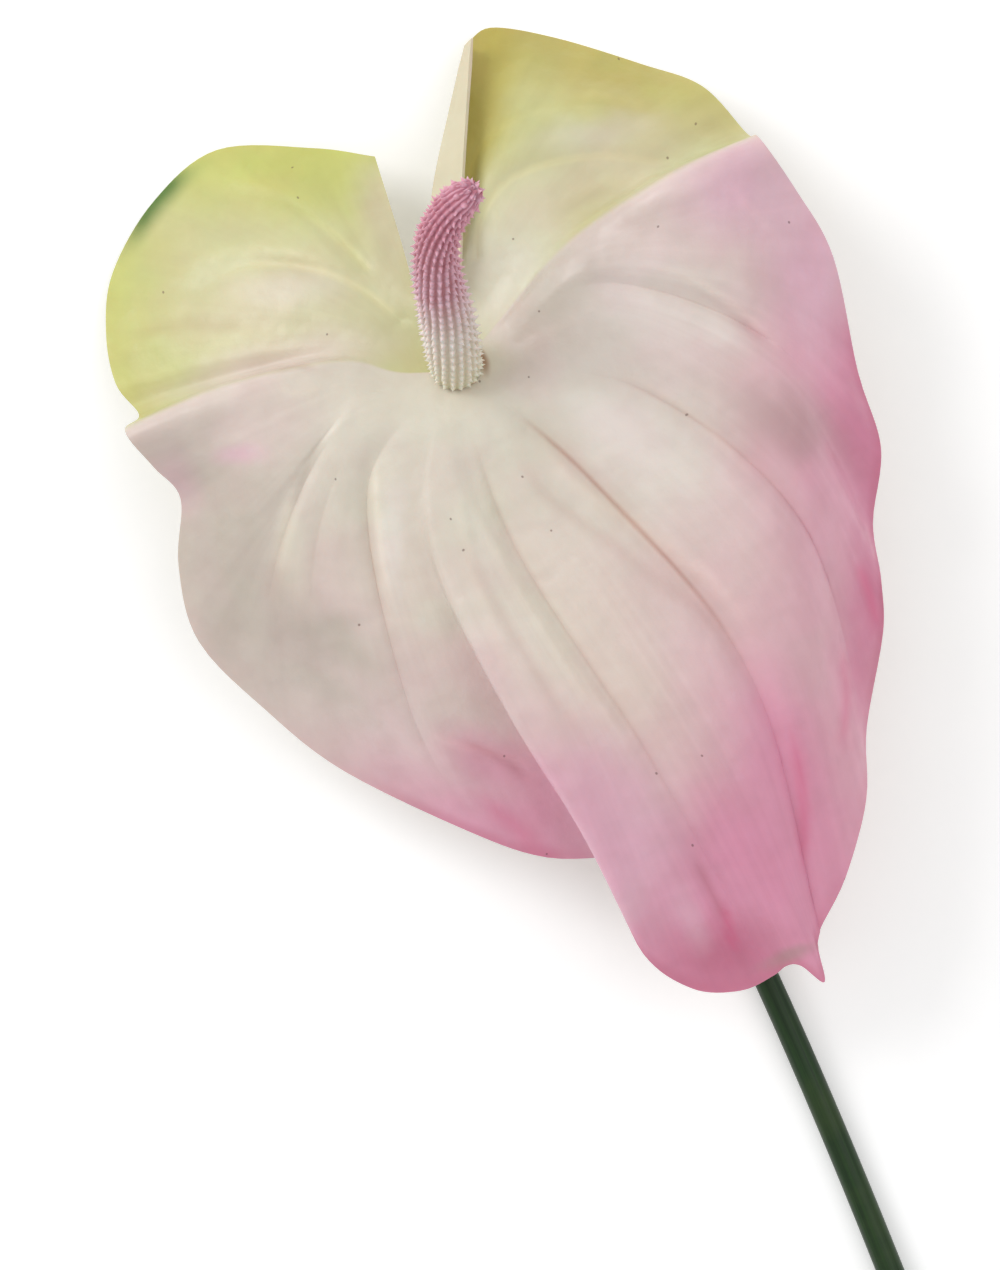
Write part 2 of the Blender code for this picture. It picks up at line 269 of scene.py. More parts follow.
class Bench:
    """A node tree with one way to add a node to it."""

    def __init__(self, tree: bpy.types.NodeTree) -> None:
        """Holds the tree."""
        self.tree = tree

    def add(self, kind: str, settings: dict[str, Any] | None = None,
            inputs: dict[int | str, Value] | None = None, output: int | str = 0) -> Wire:
        """Adds one node.

        Args:
            kind: the node's type.
            settings: the node's own settings; "stops" holds a ramp's places and colours.
            inputs: values or wires for its sockets.
            output: the output that is handed back.

        Returns:
            The wire that leaves the node.
        """
        node = self.tree.nodes.new(kind)
        for name, value in (settings or {}).items():
            if name == "stops":
                ramp = node.color_ramp
                while len(ramp.elements) < len(value):
                    ramp.elements.new(1)
                for stop, (place, colour) in zip(ramp.elements, value):
                    stop.position, stop.color = place, colour
            else:
                setattr(node, name, value)
        for key, value in (inputs or {}).items():
            if isinstance(value, Wire):
                self.tree.links.new(value.socket, node.inputs[key])
            else:
                node.inputs[key].default_value = value
        return Wire(self, node.outputs[output])

    def eased(self, value: Value, low: float, high: float, start: float = 0, end: float = 1) -> Wire:
        """Takes a value from start to end as it goes from low to high, eased at both ends."""
        return self.add("ShaderNodeMapRange", {"interpolation_type": "SMOOTHSTEP"},
                        {0: value, 1: low, 2: high, 3: start, 4: end})

    def mixed(self, share: Value, first: Value, second: Value, blend: str = "MIX") -> Wire:
        """Mixes two colours by a share."""
        return self.add("ShaderNodeMix", {"data_type": "RGBA", "blend_type": blend},
                        {0: share, 6: first, 7: second}, 2)

    def vector(self, operation: str, first: Value, second: Value = (0, 0, 0)) -> Wire:
        """A Vector Math node of this operation."""
        return self.add("ShaderNodeVectorMath", {"operation": operation}, {0: first, 1: second})

    def scaled(self, vector: Value, amount: Value) -> Wire:
        """A vector made longer or shorter."""
        return self.add("ShaderNodeVectorMath", {"operation": "SCALE"}, {0: vector, 3: amount})

    def trio(self, x: Value, y: Value, z: Value = 0.0) -> Wire:
        """Three numbers as one vector."""
        return self.add("ShaderNodeCombineXYZ", None, {0: x, 1: y, 2: z})

    def noise(self, at: Value, scale: float, detail: float = 2, output: int | str = 0) -> Wire:
        """Soft noise, read at a place."""
        return self.add("ShaderNodeTexNoise", None, {"Vector": at, "Scale": scale, "Detail": detail}, output)

    def read(self, name: str) -> Wire:
        """A number that the mesh carries at each point."""
        return self.add("ShaderNodeAttribute", {"attribute_name": name}, None, "Fac")

    def place(self) -> Wire:
        """Object coordinates."""
        return self.add("ShaderNodeTexCoord", None, None, "Object")


def paint(red: float, green: float, blue: float) -> Colour:
    """A colour given as it shows on a screen, from 0 to 255, as light for a shader."""
    light = [((c / 255 + 0.055) / 1.055) ** 2.4 if c > 10 else c / 255 / 12.92 for c in (red, green, blue)]
    return (light[0], light[1], light[2], 1.0)


class Material:
    """A material with its principled shader and the bench for its other nodes."""

    def __init__(self, name: str, fixed: dict[str, Any]) -> None:
        """Makes the material and sets what is the same all over it.

        Args:
            name: the material's name.
            fixed: values for the shader's own sockets.
        """
        self.data = bpy.data.materials.new(name)
        self.data.use_nodes = True
        self.bench = Bench(self.data.node_tree)
        self.shader = self.data.node_tree.nodes["Principled BSDF"]
        for socket, value in fixed.items():
            self.shader.inputs[socket].default_value = value

    def feed(self, **wires: Wire) -> None:
        """Links wires to the shader's sockets, whose names have _ for a space."""
        for name, wire in wires.items():
            self.bench.tree.links.new(wire.socket, self.shader.inputs[name.replace("_", " ")])

    def bump(self, height: Wire, strength: float, distance: float) -> None:
        """Feeds a height to the shader's normal.

        Args:
            height: the height, from 0 to 1.
            strength: how much of it is felt.
            distance: how high 1 stands, in metres.
        """
        self.feed(Normal=self.bench.add("ShaderNodeBump", None,
                                        {"Strength": strength, "Distance": distance, "Height": height}))


# Meshes


def new_piece(name: str, points: np.ndarray, faces: Any, numbers: dict[str, np.ndarray],
              sharp_deg: float = 50) -> bpy.types.Object:
    """Mesh object in the scene.

    Args:
        name: the piece's name.
        points: its points, in metres.
        faces: the corners of its faces.
        numbers: values that it carries at each point, by name.
        sharp_deg: the angle past which an edge shows.

    Returns:
        The object.
    """
    mesh = bpy.data.meshes.new(name)
    mesh.from_pydata(points.tolist(), [], faces)
    for key, values in numbers.items():
        carried = mesh.attributes.new(key, "FLOAT", "POINT")
        carried.data.foreach_set("value", values.ravel().astype(np.float32))
    mesh.shade_smooth()
    mesh.set_sharp_from_angle(angle=math.radians(sharp_deg))
    made = bpy.data.objects.new(name, mesh)
    bpy.context.scene.collection.objects.link(made)
    return made


def settled(name: str, seed: bpy.types.Object, tree: bpy.types.NodeTree, values: dict[str, Any],
            sharp_deg: float) -> bpy.types.Object:
    """Runs a geometry tree on a seed mesh and keeps the result as a plain mesh.

    Args:
        name: the finished piece's name.
        seed: the object whose mesh the tree starts from; it is removed.
        tree: the geometry tree.
        values: values of the tree's inputs, by their names.
        sharp_deg: the angle past which an edge shows.

    Returns:
        The finished piece.
    """
    modifier = seed.modifiers.new("grown", "NODES")
    modifier.node_group = tree
    for item in tree.interface.items_tree:
        if item.item_type == "SOCKET" and item.in_out == "INPUT" and item.name in values:
            modifier[item.identifier] = values[item.name]
    depsgraph = bpy.context.evaluated_depsgraph_get()
    mesh = bpy.data.meshes.new_from_object(seed.evaluated_get(depsgraph), preserve_all_data_layers=True,
                                           depsgraph=depsgraph)
    seed.modifiers.remove(modifier)
    bpy.data.objects.remove(seed)
    mesh.name = name
    mesh.shade_smooth()
    mesh.set_sharp_from_angle(angle=math.radians(sharp_deg))
    made = bpy.data.objects.new(name, mesh)
    bpy.context.scene.collection.objects.link(made)
    return made


def new_tree(name: str, inputs: Sequence[tuple[str, str, Any]], output: str) -> tuple[Bench, Wire]:
    """Starts a geometry tree with named inputs.

    Args:
        name: the tree's name.
        inputs: the name, kind and start value of each input; None leaves the start value as it is.
        output: the name of the shape that it hands back.

    Returns:
        The tree's bench, and the wire of its first input.
    """
    tree = bpy.data.node_groups.new(name, "GeometryNodeTree")
    for label, kind, start in inputs:
        socket = tree.interface.new_socket(label, in_out="INPUT", socket_type="NodeSocket" + kind)
        if start is not None:
            socket.default_value = start
    tree.interface.new_socket(output, in_out="OUTPUT", socket_type="NodeSocketGeometry")
    bench = Bench(tree)
    return bench, bench.add("NodeGroupInput")


def end_tree(bench: Bench, given: Wire, shape: Wire) -> bpy.types.NodeTree:
    """Ends a geometry tree, whose shape becomes real and wears the finish that the tree is given.

    Args:
        bench: the tree's bench.
        given: the wire of the tree's first input.
        shape: the finished shape.

    Returns:
        The tree.
    """
    real = bench.add("GeometryNodeRealizeInstances", None, {"Geometry": shape})
    worn = bench.add("GeometryNodeSetMaterial", None, {"Geometry": real, "Material": given.other("Finish")})
    out = bench.tree.nodes.new("NodeGroupOutput")
    bench.tree.links.new(worn.socket, out.inputs[0])
    return bench.tree


def dressed(piece: bpy.types.Object, material: Material, node: str) -> None:
    """Gives a piece its material, and makes it stand for its CAD node.

    Args:
        piece: the finished piece.
        material: what it wears.
        node: the CAD node that it stands for.
    """
    piece.data.materials.clear()
    piece.data.materials.append(material.data)
    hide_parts(node)
    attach(piece, "root")
    log.info("%s: %d points, %d faces", piece.name, len(piece.data.vertices), len(piece.data.polygons))


# The spathe's finish


class Part(Enum):
    """The parts of the blade that the folds set apart."""

    LEFT_LOBE = "left lobe"
    RIGHT_LOBE = "right lobe"
    BODY = "body"
    ALL = "all"


class Tint(Enum):
    """The blade's colours, chosen beside the photograph, from 0 to 255."""

    LEAF_GREEN = (72, 112, 34)
    LIME = (190, 192, 104)
    PALE_LIME = (195, 194, 138)
    OLIVE = (184, 172, 88)
    SAND = (205, 198, 166)
    CREAM = (214, 208, 192)
    # MILK is laid as pale colour and as painted highlight on the puffs
    MILK = (226, 220, 212)
    # STONE is a greyish tone, laid mostly as painted shade in folds, valleys and under the tongue
    STONE = (187, 178, 165)
    SHELL = (214, 196, 190)
    LILAC = (222, 181, 196)
    PINK = (220, 150, 176)
    ROSE = (204, 122, 152)
    WINE = (186, 92, 122)
    # MAUVE is laid as painted shade at the right notch and under the hook
    MAUVE = (174, 144, 142)
    BROWN = (146, 98, 52)
    # painted shade: the olive shade that the rolled edge casts on the lobe behind it
    HOLLOW = (186, 172, 80)
    ROLL = (214, 198, 178)
    UNDERSIDE = (206, 205, 168)
    STREAK = (214, 92, 134)
    SPECK = (96, 62, 52)

    def light(self) -> Colour:
        """The colour as light for a shader."""
        return paint(*self.value)


class Blush(NamedTuple):
    """A soft patch of colour on the blade, placed as seen from above in picture points.

    Where hem is given, the patch shows only that many mm from the margin.
    """

    name: str
    part: Part
    at: Flat
    reach: Flat
    lean_deg: float
    tint: Tint
    strength: float
    core: float = 0.1
    hem: float = 0.0


BLUSHES = (
    Blush("lime top of the left lobe", Part.LEFT_LOBE, (270, 150), (260, 90), -3, Tint.LIME, 0.9),
    Blush("lime side of the left lobe", Part.LEFT_LOBE, (100, 300), (110, 200), 0, Tint.LIME, 0.6),
    Blush("cream heart of the left lobe", Part.LEFT_LOBE, (300, 310), (190, 120), -10, Tint.SAND, 0.9),
    # pale colour and painted highlight on the lit band under the lobe's vein
    Blush("white and highlight of the left lobe", Part.LEFT_LOBE, (290, 285), (80, 30), 0, Tint.MILK, 0.3),
    Blush("sinus edge of the left lobe", Part.LEFT_LOBE, (385, 225), (40, 120), 12, Tint.SAND, 0.8),
    Blush("blush at the left fold", Part.LEFT_LOBE, (270, 372), (160, 45), 14, Tint.SHELL, 0.8),
    Blush("top of the right lobe", Part.RIGHT_LOBE, (600, 45), (260, 100), -18, Tint.OLIVE, 0.9),
    # painted shade: the olive lobe darkened in its cupped fold beside the roll
    Blush("olive shade in the fold of the right lobe", Part.RIGHT_LOBE, (488, 80), (50, 170), -6, Tint.OLIVE, 0.8),
    Blush("cream of the right lobe", Part.RIGHT_LOBE, (600, 170), (170, 80), 15, Tint.SAND, 0.9),
    Blush("heart of the right lobe", Part.RIGHT_LOBE, (500, 280), (90, 140), -25, Tint.CREAM, 0.9),
    Blush("pale arc of the right lobe", Part.RIGHT_LOBE, (590, 130), (80, 26), 10, Tint.CREAM, 0.5),
    Blush("pink of the lower half", Part.BODY, (760, 930), (520, 430), 0, Tint.PINK, 1.0),
    Blush("pink of the right side", Part.BODY, (920, 420), (260, 480), 0, Tint.PINK, 1.0),
    Blush("pink of the left low margin", Part.BODY, (520, 900), (330, 190), -25, Tint.PINK, 1.0),
    Blush("cream heart", Part.BODY, (440, 440), (330, 260), -20, Tint.CREAM, 0.9),
    Blush("stone of the left wing", Part.BODY, (230, 560), (130, 220), 20, Tint.STONE, 0.8),
    Blush("left cream panel", Part.BODY, (400, 580), (90, 200), 15, Tint.CREAM, 0.6),
    Blush("long middle panel", Part.BODY, (590, 660), (110, 260), 32, Tint.CREAM, 0.7),
    # pale colour and painted highlight on the puffs of the right shoulder
    Blush("white and highlight of the right shoulder", Part.BODY, (640, 290), (170, 90), -20, Tint.MILK, 0.6),
    # painted shade in the valley at the foot of the right pleat
    Blush("shade in the fold of the right shoulder", Part.BODY, (570, 270), (120, 60), 40, Tint.STONE, 0.6),
    # pale colour and painted highlight on the puffs of the middle right
    Blush("white and highlight of the middle right", Part.BODY, (640, 430), (170, 120), -40, Tint.MILK, 0.5),
    Blush("lilac of the right shoulder", Part.BODY, (740, 190), (110, 70), 25, Tint.LILAC, 0.8),
    Blush("lilac under the right shoulder", Part.BODY, (815, 260), (80, 160), 20, Tint.LILAC, 0.8),
    Blush("shade by the right notch", Part.BODY, (790, 425), (110, 50), -20, Tint.MAUVE, 0.5),
    Blush("rose of the right edge", Part.BODY, (870, 400), (60, 130), 10, Tint.ROSE, 0.8),
    Blush("rose of the lower right edge", Part.BODY, (870, 610), (50, 200), -5, Tint.ROSE, 0.8),
    Blush("pink beside the right vein", Part.BODY, (785, 770), (60, 170), 12, Tint.PINK, 0.8),
    Blush("low lilac panel", Part.BODY, (620, 830), (90, 160), 25, Tint.LILAC, 0.7),
    Blush("wine of the tip", Part.BODY, (725, 955), (90, 60), 10, Tint.WINE, 0.6),
    Blush("right low panel", Part.BODY, (745, 860), (60, 130), 25, Tint.PINK, 0.6),
    Blush("left low blush", Part.BODY, (430, 700), (170, 90), -35, Tint.SHELL, 0.8),
    Blush("pink by the left fold", Part.BODY, (490, 760), (90, 40), -25, Tint.PINK, 0.6),
    Blush("blush of the left wing", Part.BODY, (260, 430), (90, 50), 20, Tint.SHELL, 0.7),
    Blush("shade of the left valley", Part.BODY, (330, 660), (100, 60), -40, Tint.STONE, 0.7),
    Blush("pink cloud of the left wing", Part.BODY, (240, 455), (40, 16), 10, Tint.LILAC, 0.6),
    Blush("pink side of the left wing", Part.BODY, (170, 490), (40, 50), 0, Tint.LILAC, 0.4),
    Blush("shade under the left tongue", Part.BODY, (327, 623), (48, 16), 5, Tint.STONE, 0.7),
    Blush("cloud of the left side", Part.BODY, (350, 678), (60, 28), -25, Tint.SHELL, 0.7),
    # painted highlight on the lit left flank of the tongue
    Blush("light of the left tongue", Part.BODY, (296, 560), (24, 80), 8, Tint.CREAM, 0.7),
    # painted highlight on the cream panel's puff
    Blush("light of the cream panel", Part.BODY, (392, 545), (20, 100), -3, Tint.MILK, 0.5),
    # painted highlight on the right side's puff
    Blush("light puff of the right side", Part.BODY, (720, 330), (50, 25), -35, Tint.MILK, 0.4),
    # painted highlight on the puff right of the neck
    Blush("light right of the neck", Part.BODY, (600, 420), (60, 30), -40, Tint.MILK, 0.4),
    Blush("shade right of the spadix", Part.BODY, (530, 320), (60, 26), 40, Tint.STONE, 0.5),
    Blush("lilac of the tip", Part.BODY, (690, 920), (24, 50), 20, Tint.LILAC, 0.5),
    Blush("lilac left of the tip", Part.BODY, (620, 910), (26, 50), -25, Tint.LILAC, 0.5),
    Blush("sand round the neck", Part.ALL, (482, 358), (44, 34), 0, Tint.SAND, 0.4),
    Blush("deep green edge", Part.LEFT_LOBE, (150, 193), (78, 50), 54, Tint.LEAF_GREEN, 0.95, 0.3, 6),
    Blush("lime rim of the left lobe", Part.LEFT_LOBE, (270, 130), (230, 60), -3, Tint.LIME, 0.5, 0.4, 4),
    Blush("lime rim of the lobe's side", Part.LEFT_LOBE, (105, 330), (60, 150), 0, Tint.LIME, 0.5, 0.3, 8),
    Blush("rose rim of the right side", Part.BODY, (880, 540), (70, 330), 0, Tint.WINE, 0.3, 0.3, 4),
    Blush("rose rim of the low left side", Part.BODY, (520, 880), (90, 260), 50, Tint.WINE, 0.4, 0.3, 5),
    Blush("rose rim of the tip", Part.BODY, (760, 960), (160, 120), 0, Tint.WINE, 0.4, 0.3, 5),
    # painted shade where the hook curls down
    Blush("grey shade on the lip of the hook", Part.BODY, (790, 957), (44, 14), 22, Tint.MAUVE, 0.6),
    Blush("dry brown at the neck", Part.ALL, (485, 360), (8, 20), 15, Tint.BROWN, 0.8, 0.2),
)


@dataclass(frozen=True)
class WaxyBlade:
    """The spathe's finish: a waxy blade, cream at the heart, lime on its lobes and rose to its tip.

    Folds, the shaded hollow and the roll are places round the fan, in spokes. A tone multiplies the colour
    under it: the halo and crease tones are painted shade, the lip and ridge tones painted highlight. Half
    widths are in mm, and the drift is in metres.
    """

    roughness: float = 0.42
    ground: Tint = Tint.SHELL
    lobe_ground: Tint = Tint.PALE_LIME
    blushes: tuple[Blush, ...] = BLUSHES
    line_half: float = 0.65
    halo_half: float = 2.4
    drift: float = 0.006
    left_fold: Flat = (7.5, 8.1)
    right_fold: Flat = (37.9, 38.5)
    # where the painted shade under the roll lies, round the fan
    roll_shade_starts: Flat = (42.3, 43.0)
    roll_shade_ends: Flat = (43.4, 43.8)
    roll_starts: Flat = (43.6, 44.1)
    halo_shade_tone: Colour = (0.93, 0.87, 0.85, 1)
    lip_highlight_tone: Colour = (1.14, 1.12, 1.06, 1)
    line_tone: Colour = (0.76, 0.60, 0.55, 1)
    ridge_highlight_tone: Colour = (1.09, 1.08, 1.06, 1)
    crease_shade_tone: Colour = (0.84, 0.74, 0.73, 1)

    def material(self) -> Material:
        """Builds the blade's material."""
        made = Material("waxy blade", {
            "Subsurface Weight": 0.15, "Subsurface Scale": 0.002, "Subsurface Radius": (1.0, 0.55, 0.4),
            "Specular IOR Level": 0.4, "Coat Weight": 0.08, "Coat Roughness": 0.3,
        })
        bench = made.bench
        place, fan, share = bench.place(), bench.read("fan"), bench.read("share")
        under = bench.read("under")
        drift = bench.vector("SUBTRACT", bench.noise(place, 70, 2, 1), (0.5, 0.5, 0.5))
        drifted = bench.vector("ADD", place, bench.scaled(drift, self.drift))
        masks = {
            Part.LEFT_LOBE: bench.eased(fan, *self.left_fold, 1, 0),
            Part.RIGHT_LOBE: bench.eased(fan, *self.right_fold),
        }
        masks[Part.BODY] = 1 - masks[Part.LEFT_LOBE] - masks[Part.RIGHT_LOBE]
        colour = bench.mixed(masks[Part.BODY], self.lobe_ground.light(), self.ground.light())
        for blush in self.blushes:
            colour = self.blushed(bench, colour, blush, drifted, masks)
        colour = self.rolled(bench, colour, fan, share)
        colour = self.washed(bench, colour, place, fan, share)
        colour = self.veined(bench, colour, fan, share)
        colour = self.marked(bench, colour)
        colour = self.specked(bench, colour, drifted)
        colour = bench.mixed(under * 0.4, colour, Tint.UNDERSIDE.light())
        fine = bench.noise(place, 260, 3)
        sheen = bench.eased(fine, 0.3, 0.7, self.roughness - 0.06, self.roughness + 0.08)
        made.feed(Base_Color=colour, Roughness=sheen + under * 0.15)
        pucker = bench.noise(drifted, 85, 2)
        made.bump(pucker * 0.9 + fine * 0.16 + bench.noise(place, 1100, 2) * 0.02, 1.0, MM)
        return made

    def rolled(self, bench: Bench, colour: Wire, fan: Wire, share: Wire) -> Wire:
        """Colours the right lobe's rolled inner edge, and paints olive shade in the hollow under the roll."""
        # painted shade: olive darkening in the hollow under the roll
        band = bench.eased(fan, *self.roll_shade_starts) * bench.eased(fan, *self.roll_shade_ends, 1, 0)
        hollow = band * bench.eased(share, 0.3, 0.6, 0, 0.6)
        colour = bench.mixed(hollow, colour, Tint.HOLLOW.light())
        return bench.mixed(bench.eased(fan, *self.roll_starts, 0, 0.9), colour, Tint.ROLL.light())

    def washed(self, bench: Bench, colour: Wire, place: Wire, fan: Wire, share: Wire) -> Wire:
        """Soft uneven washes, as in a living blade, and faint streaks out along the spokes."""
        light = bench.noise(place, 75, 2) * 0.7 + bench.noise(place, 240, 2) * 0.3
        wash = bench.mixed(bench.eased(light, 0.36, 0.64), (0.97, 0.965, 0.96, 1), (1.03, 1.035, 1.04, 1))
        rosy = bench.noise(bench.vector("ADD", place, (0.31, 0.17, 0.05)), 60, 2)
        tone = bench.mixed(bench.eased(rosy, 0.38, 0.62), (0.995, 1.015, 1.0, 1), (1.01, 0.98, 0.995, 1))
        streak = bench.noise(bench.trio(fan * 2.4, share * 2.2), 1, 3)
        line = bench.mixed(bench.eased(streak, 0.3, 0.7), (0.975, 0.965, 0.965, 1), (1.025, 1.025, 1.025, 1))
        line = bench.mixed(bench.eased(share, 0.25, 0.6), (1, 1, 1, 1), line)
        for layer in (wash, tone, line):
            colour = bench.mixed(1.0, colour, layer, "MULTIPLY")
        return colour

    def veined(self, bench: Bench, colour: Wire, fan: Wire, share: Wire) -> Wire:
        """Draws fine lines and painted shade in the long veins, and painted highlights on the lobes' veins.

        Args:
            bench: the material's bench.
            colour: the colours so far.
            fan: the place round the fan, in spokes.
            share: the place out along a spoke.

        Returns:
            The colours with the veins on them.
        """
        span = bench.read("span")
        lines: Value = 0.0
        halos: Value = 0.0
        for vein in SPOKE_VEINS:
            away = abs(fan - spoke_place(vein.spoke)) * span
            held = bench.eased(share, vein.comes_in - 0.12, vein.comes_in + 0.05) * bench.eased(
                share, vein.line_ends - 0.1, vein.line_ends + 0.12, vein.line, 0)
            lines = bench.eased(away, 0.1, 2 * self.line_half, 1, 0) * held + lines
            halos = bench.eased(away, 0.2, 2 * self.halo_half, 1, 0) * held + halos
        arch = bench.read("arch")
        crossing = bench.eased(share, 0.22, 0.4) * bench.eased(share, 0.6, 0.85, 0.6, 0)
        lips = bench.eased(arch, 0.3, 2.2 * self.line_half, 1, 0) * crossing
        # painted shade: the soft halo darkens the blade beside each long vein
        colour = bench.mixed(halos * 0.8, colour, self.halo_shade_tone, "MULTIPLY")
        # painted highlight: pale lips along the lobes' arching veins
        colour = bench.mixed(lips, colour, self.lip_highlight_tone, "MULTIPLY")
        # the fine brown-rose line is partly the veins' own colour and partly painted shade in the groove
        return bench.mixed(lines * 0.9, colour, self.line_tone, "MULTIPLY")

    def marked(self, bench: Bench, colour: Wire) -> Wire:
        """Lays painted highlight on the small ridges, painted shade in the creases, and the rose streaks."""
        colour = bench.mixed(bench.read(Mark.RIDGE.value), colour, self.ridge_highlight_tone, "MULTIPLY")
        colour = bench.mixed(bench.read(Mark.CREASE.value), colour, self.crease_shade_tone, "MULTIPLY")
        return bench.mixed(bench.read(Mark.FLUSH.value) * 0.55, colour, Tint.STREAK.light())

    def specked(self, bench: Bench, colour: Wire, place: Wire) -> Wire:
        """Scatters a few tiny dark specks."""
        cell = bench.add("ShaderNodeTexVoronoi", {"voronoi_dimensions": "2D"}, {
            "Vector": place, "Scale": 115})
        chance = bench.add("ShaderNodeSeparateXYZ", None, {0: cell.other("Color")})
        speck = bench.eased(cell, 0.018, 0.036, 0.6, 0) * chance.over(0.9)
        return bench.mixed(speck, colour, Tint.SPECK.light())

    def blushed(self, bench: Bench, colour: Wire, blush: Blush, place: Wire,
                masks: dict[Part, Wire]) -> Wire:
        """Lays one soft patch over the colours below it.

        Args:
            bench: the material's bench.
            colour: the colours so far.
            blush: the patch.
            place: where on the flower a point is.
            masks: the parts of the blade.

        Returns:
            The colours with the patch on them.
        """
        spot = LAYOUT.seen_at(*blush.at)
        turn = math.radians(blush.lean_deg - LAYOUT.turn_deg)
        reach = [amount * LAYOUT.picture_point for amount in blush.reach]
        local = bench.add("ShaderNodeMapping", {"vector_type": "TEXTURE"}, {
            "Vector": place, "Location": (spot.x, spot.y, 0), "Rotation": (0, 0, turn),
            "Scale": (reach[0], reach[1], 1000)})
        near = bench.add("ShaderNodeTexGradient", {"gradient_type": "SPHERICAL"}, {"Vector": local}, "Fac")
        weight = bench.eased(near, 0, 1 - blush.core, 0, blush.strength)
        if blush.part is not Part.ALL:
            weight = weight * masks[blush.part]
        if blush.hem:
            weight = weight * bench.eased(bench.read("hem"), 0, blush.hem, 1, 0)
        return bench.mixed(weight, colour, blush.tint.light())


# The spathe


class Spoke(NamedTuple):
    """One line of the blade from the neck out to the margin, in mm round the pole."""

    name: str
    neck_deg: float
    inner: Point
    outer: Point
    rim: Point


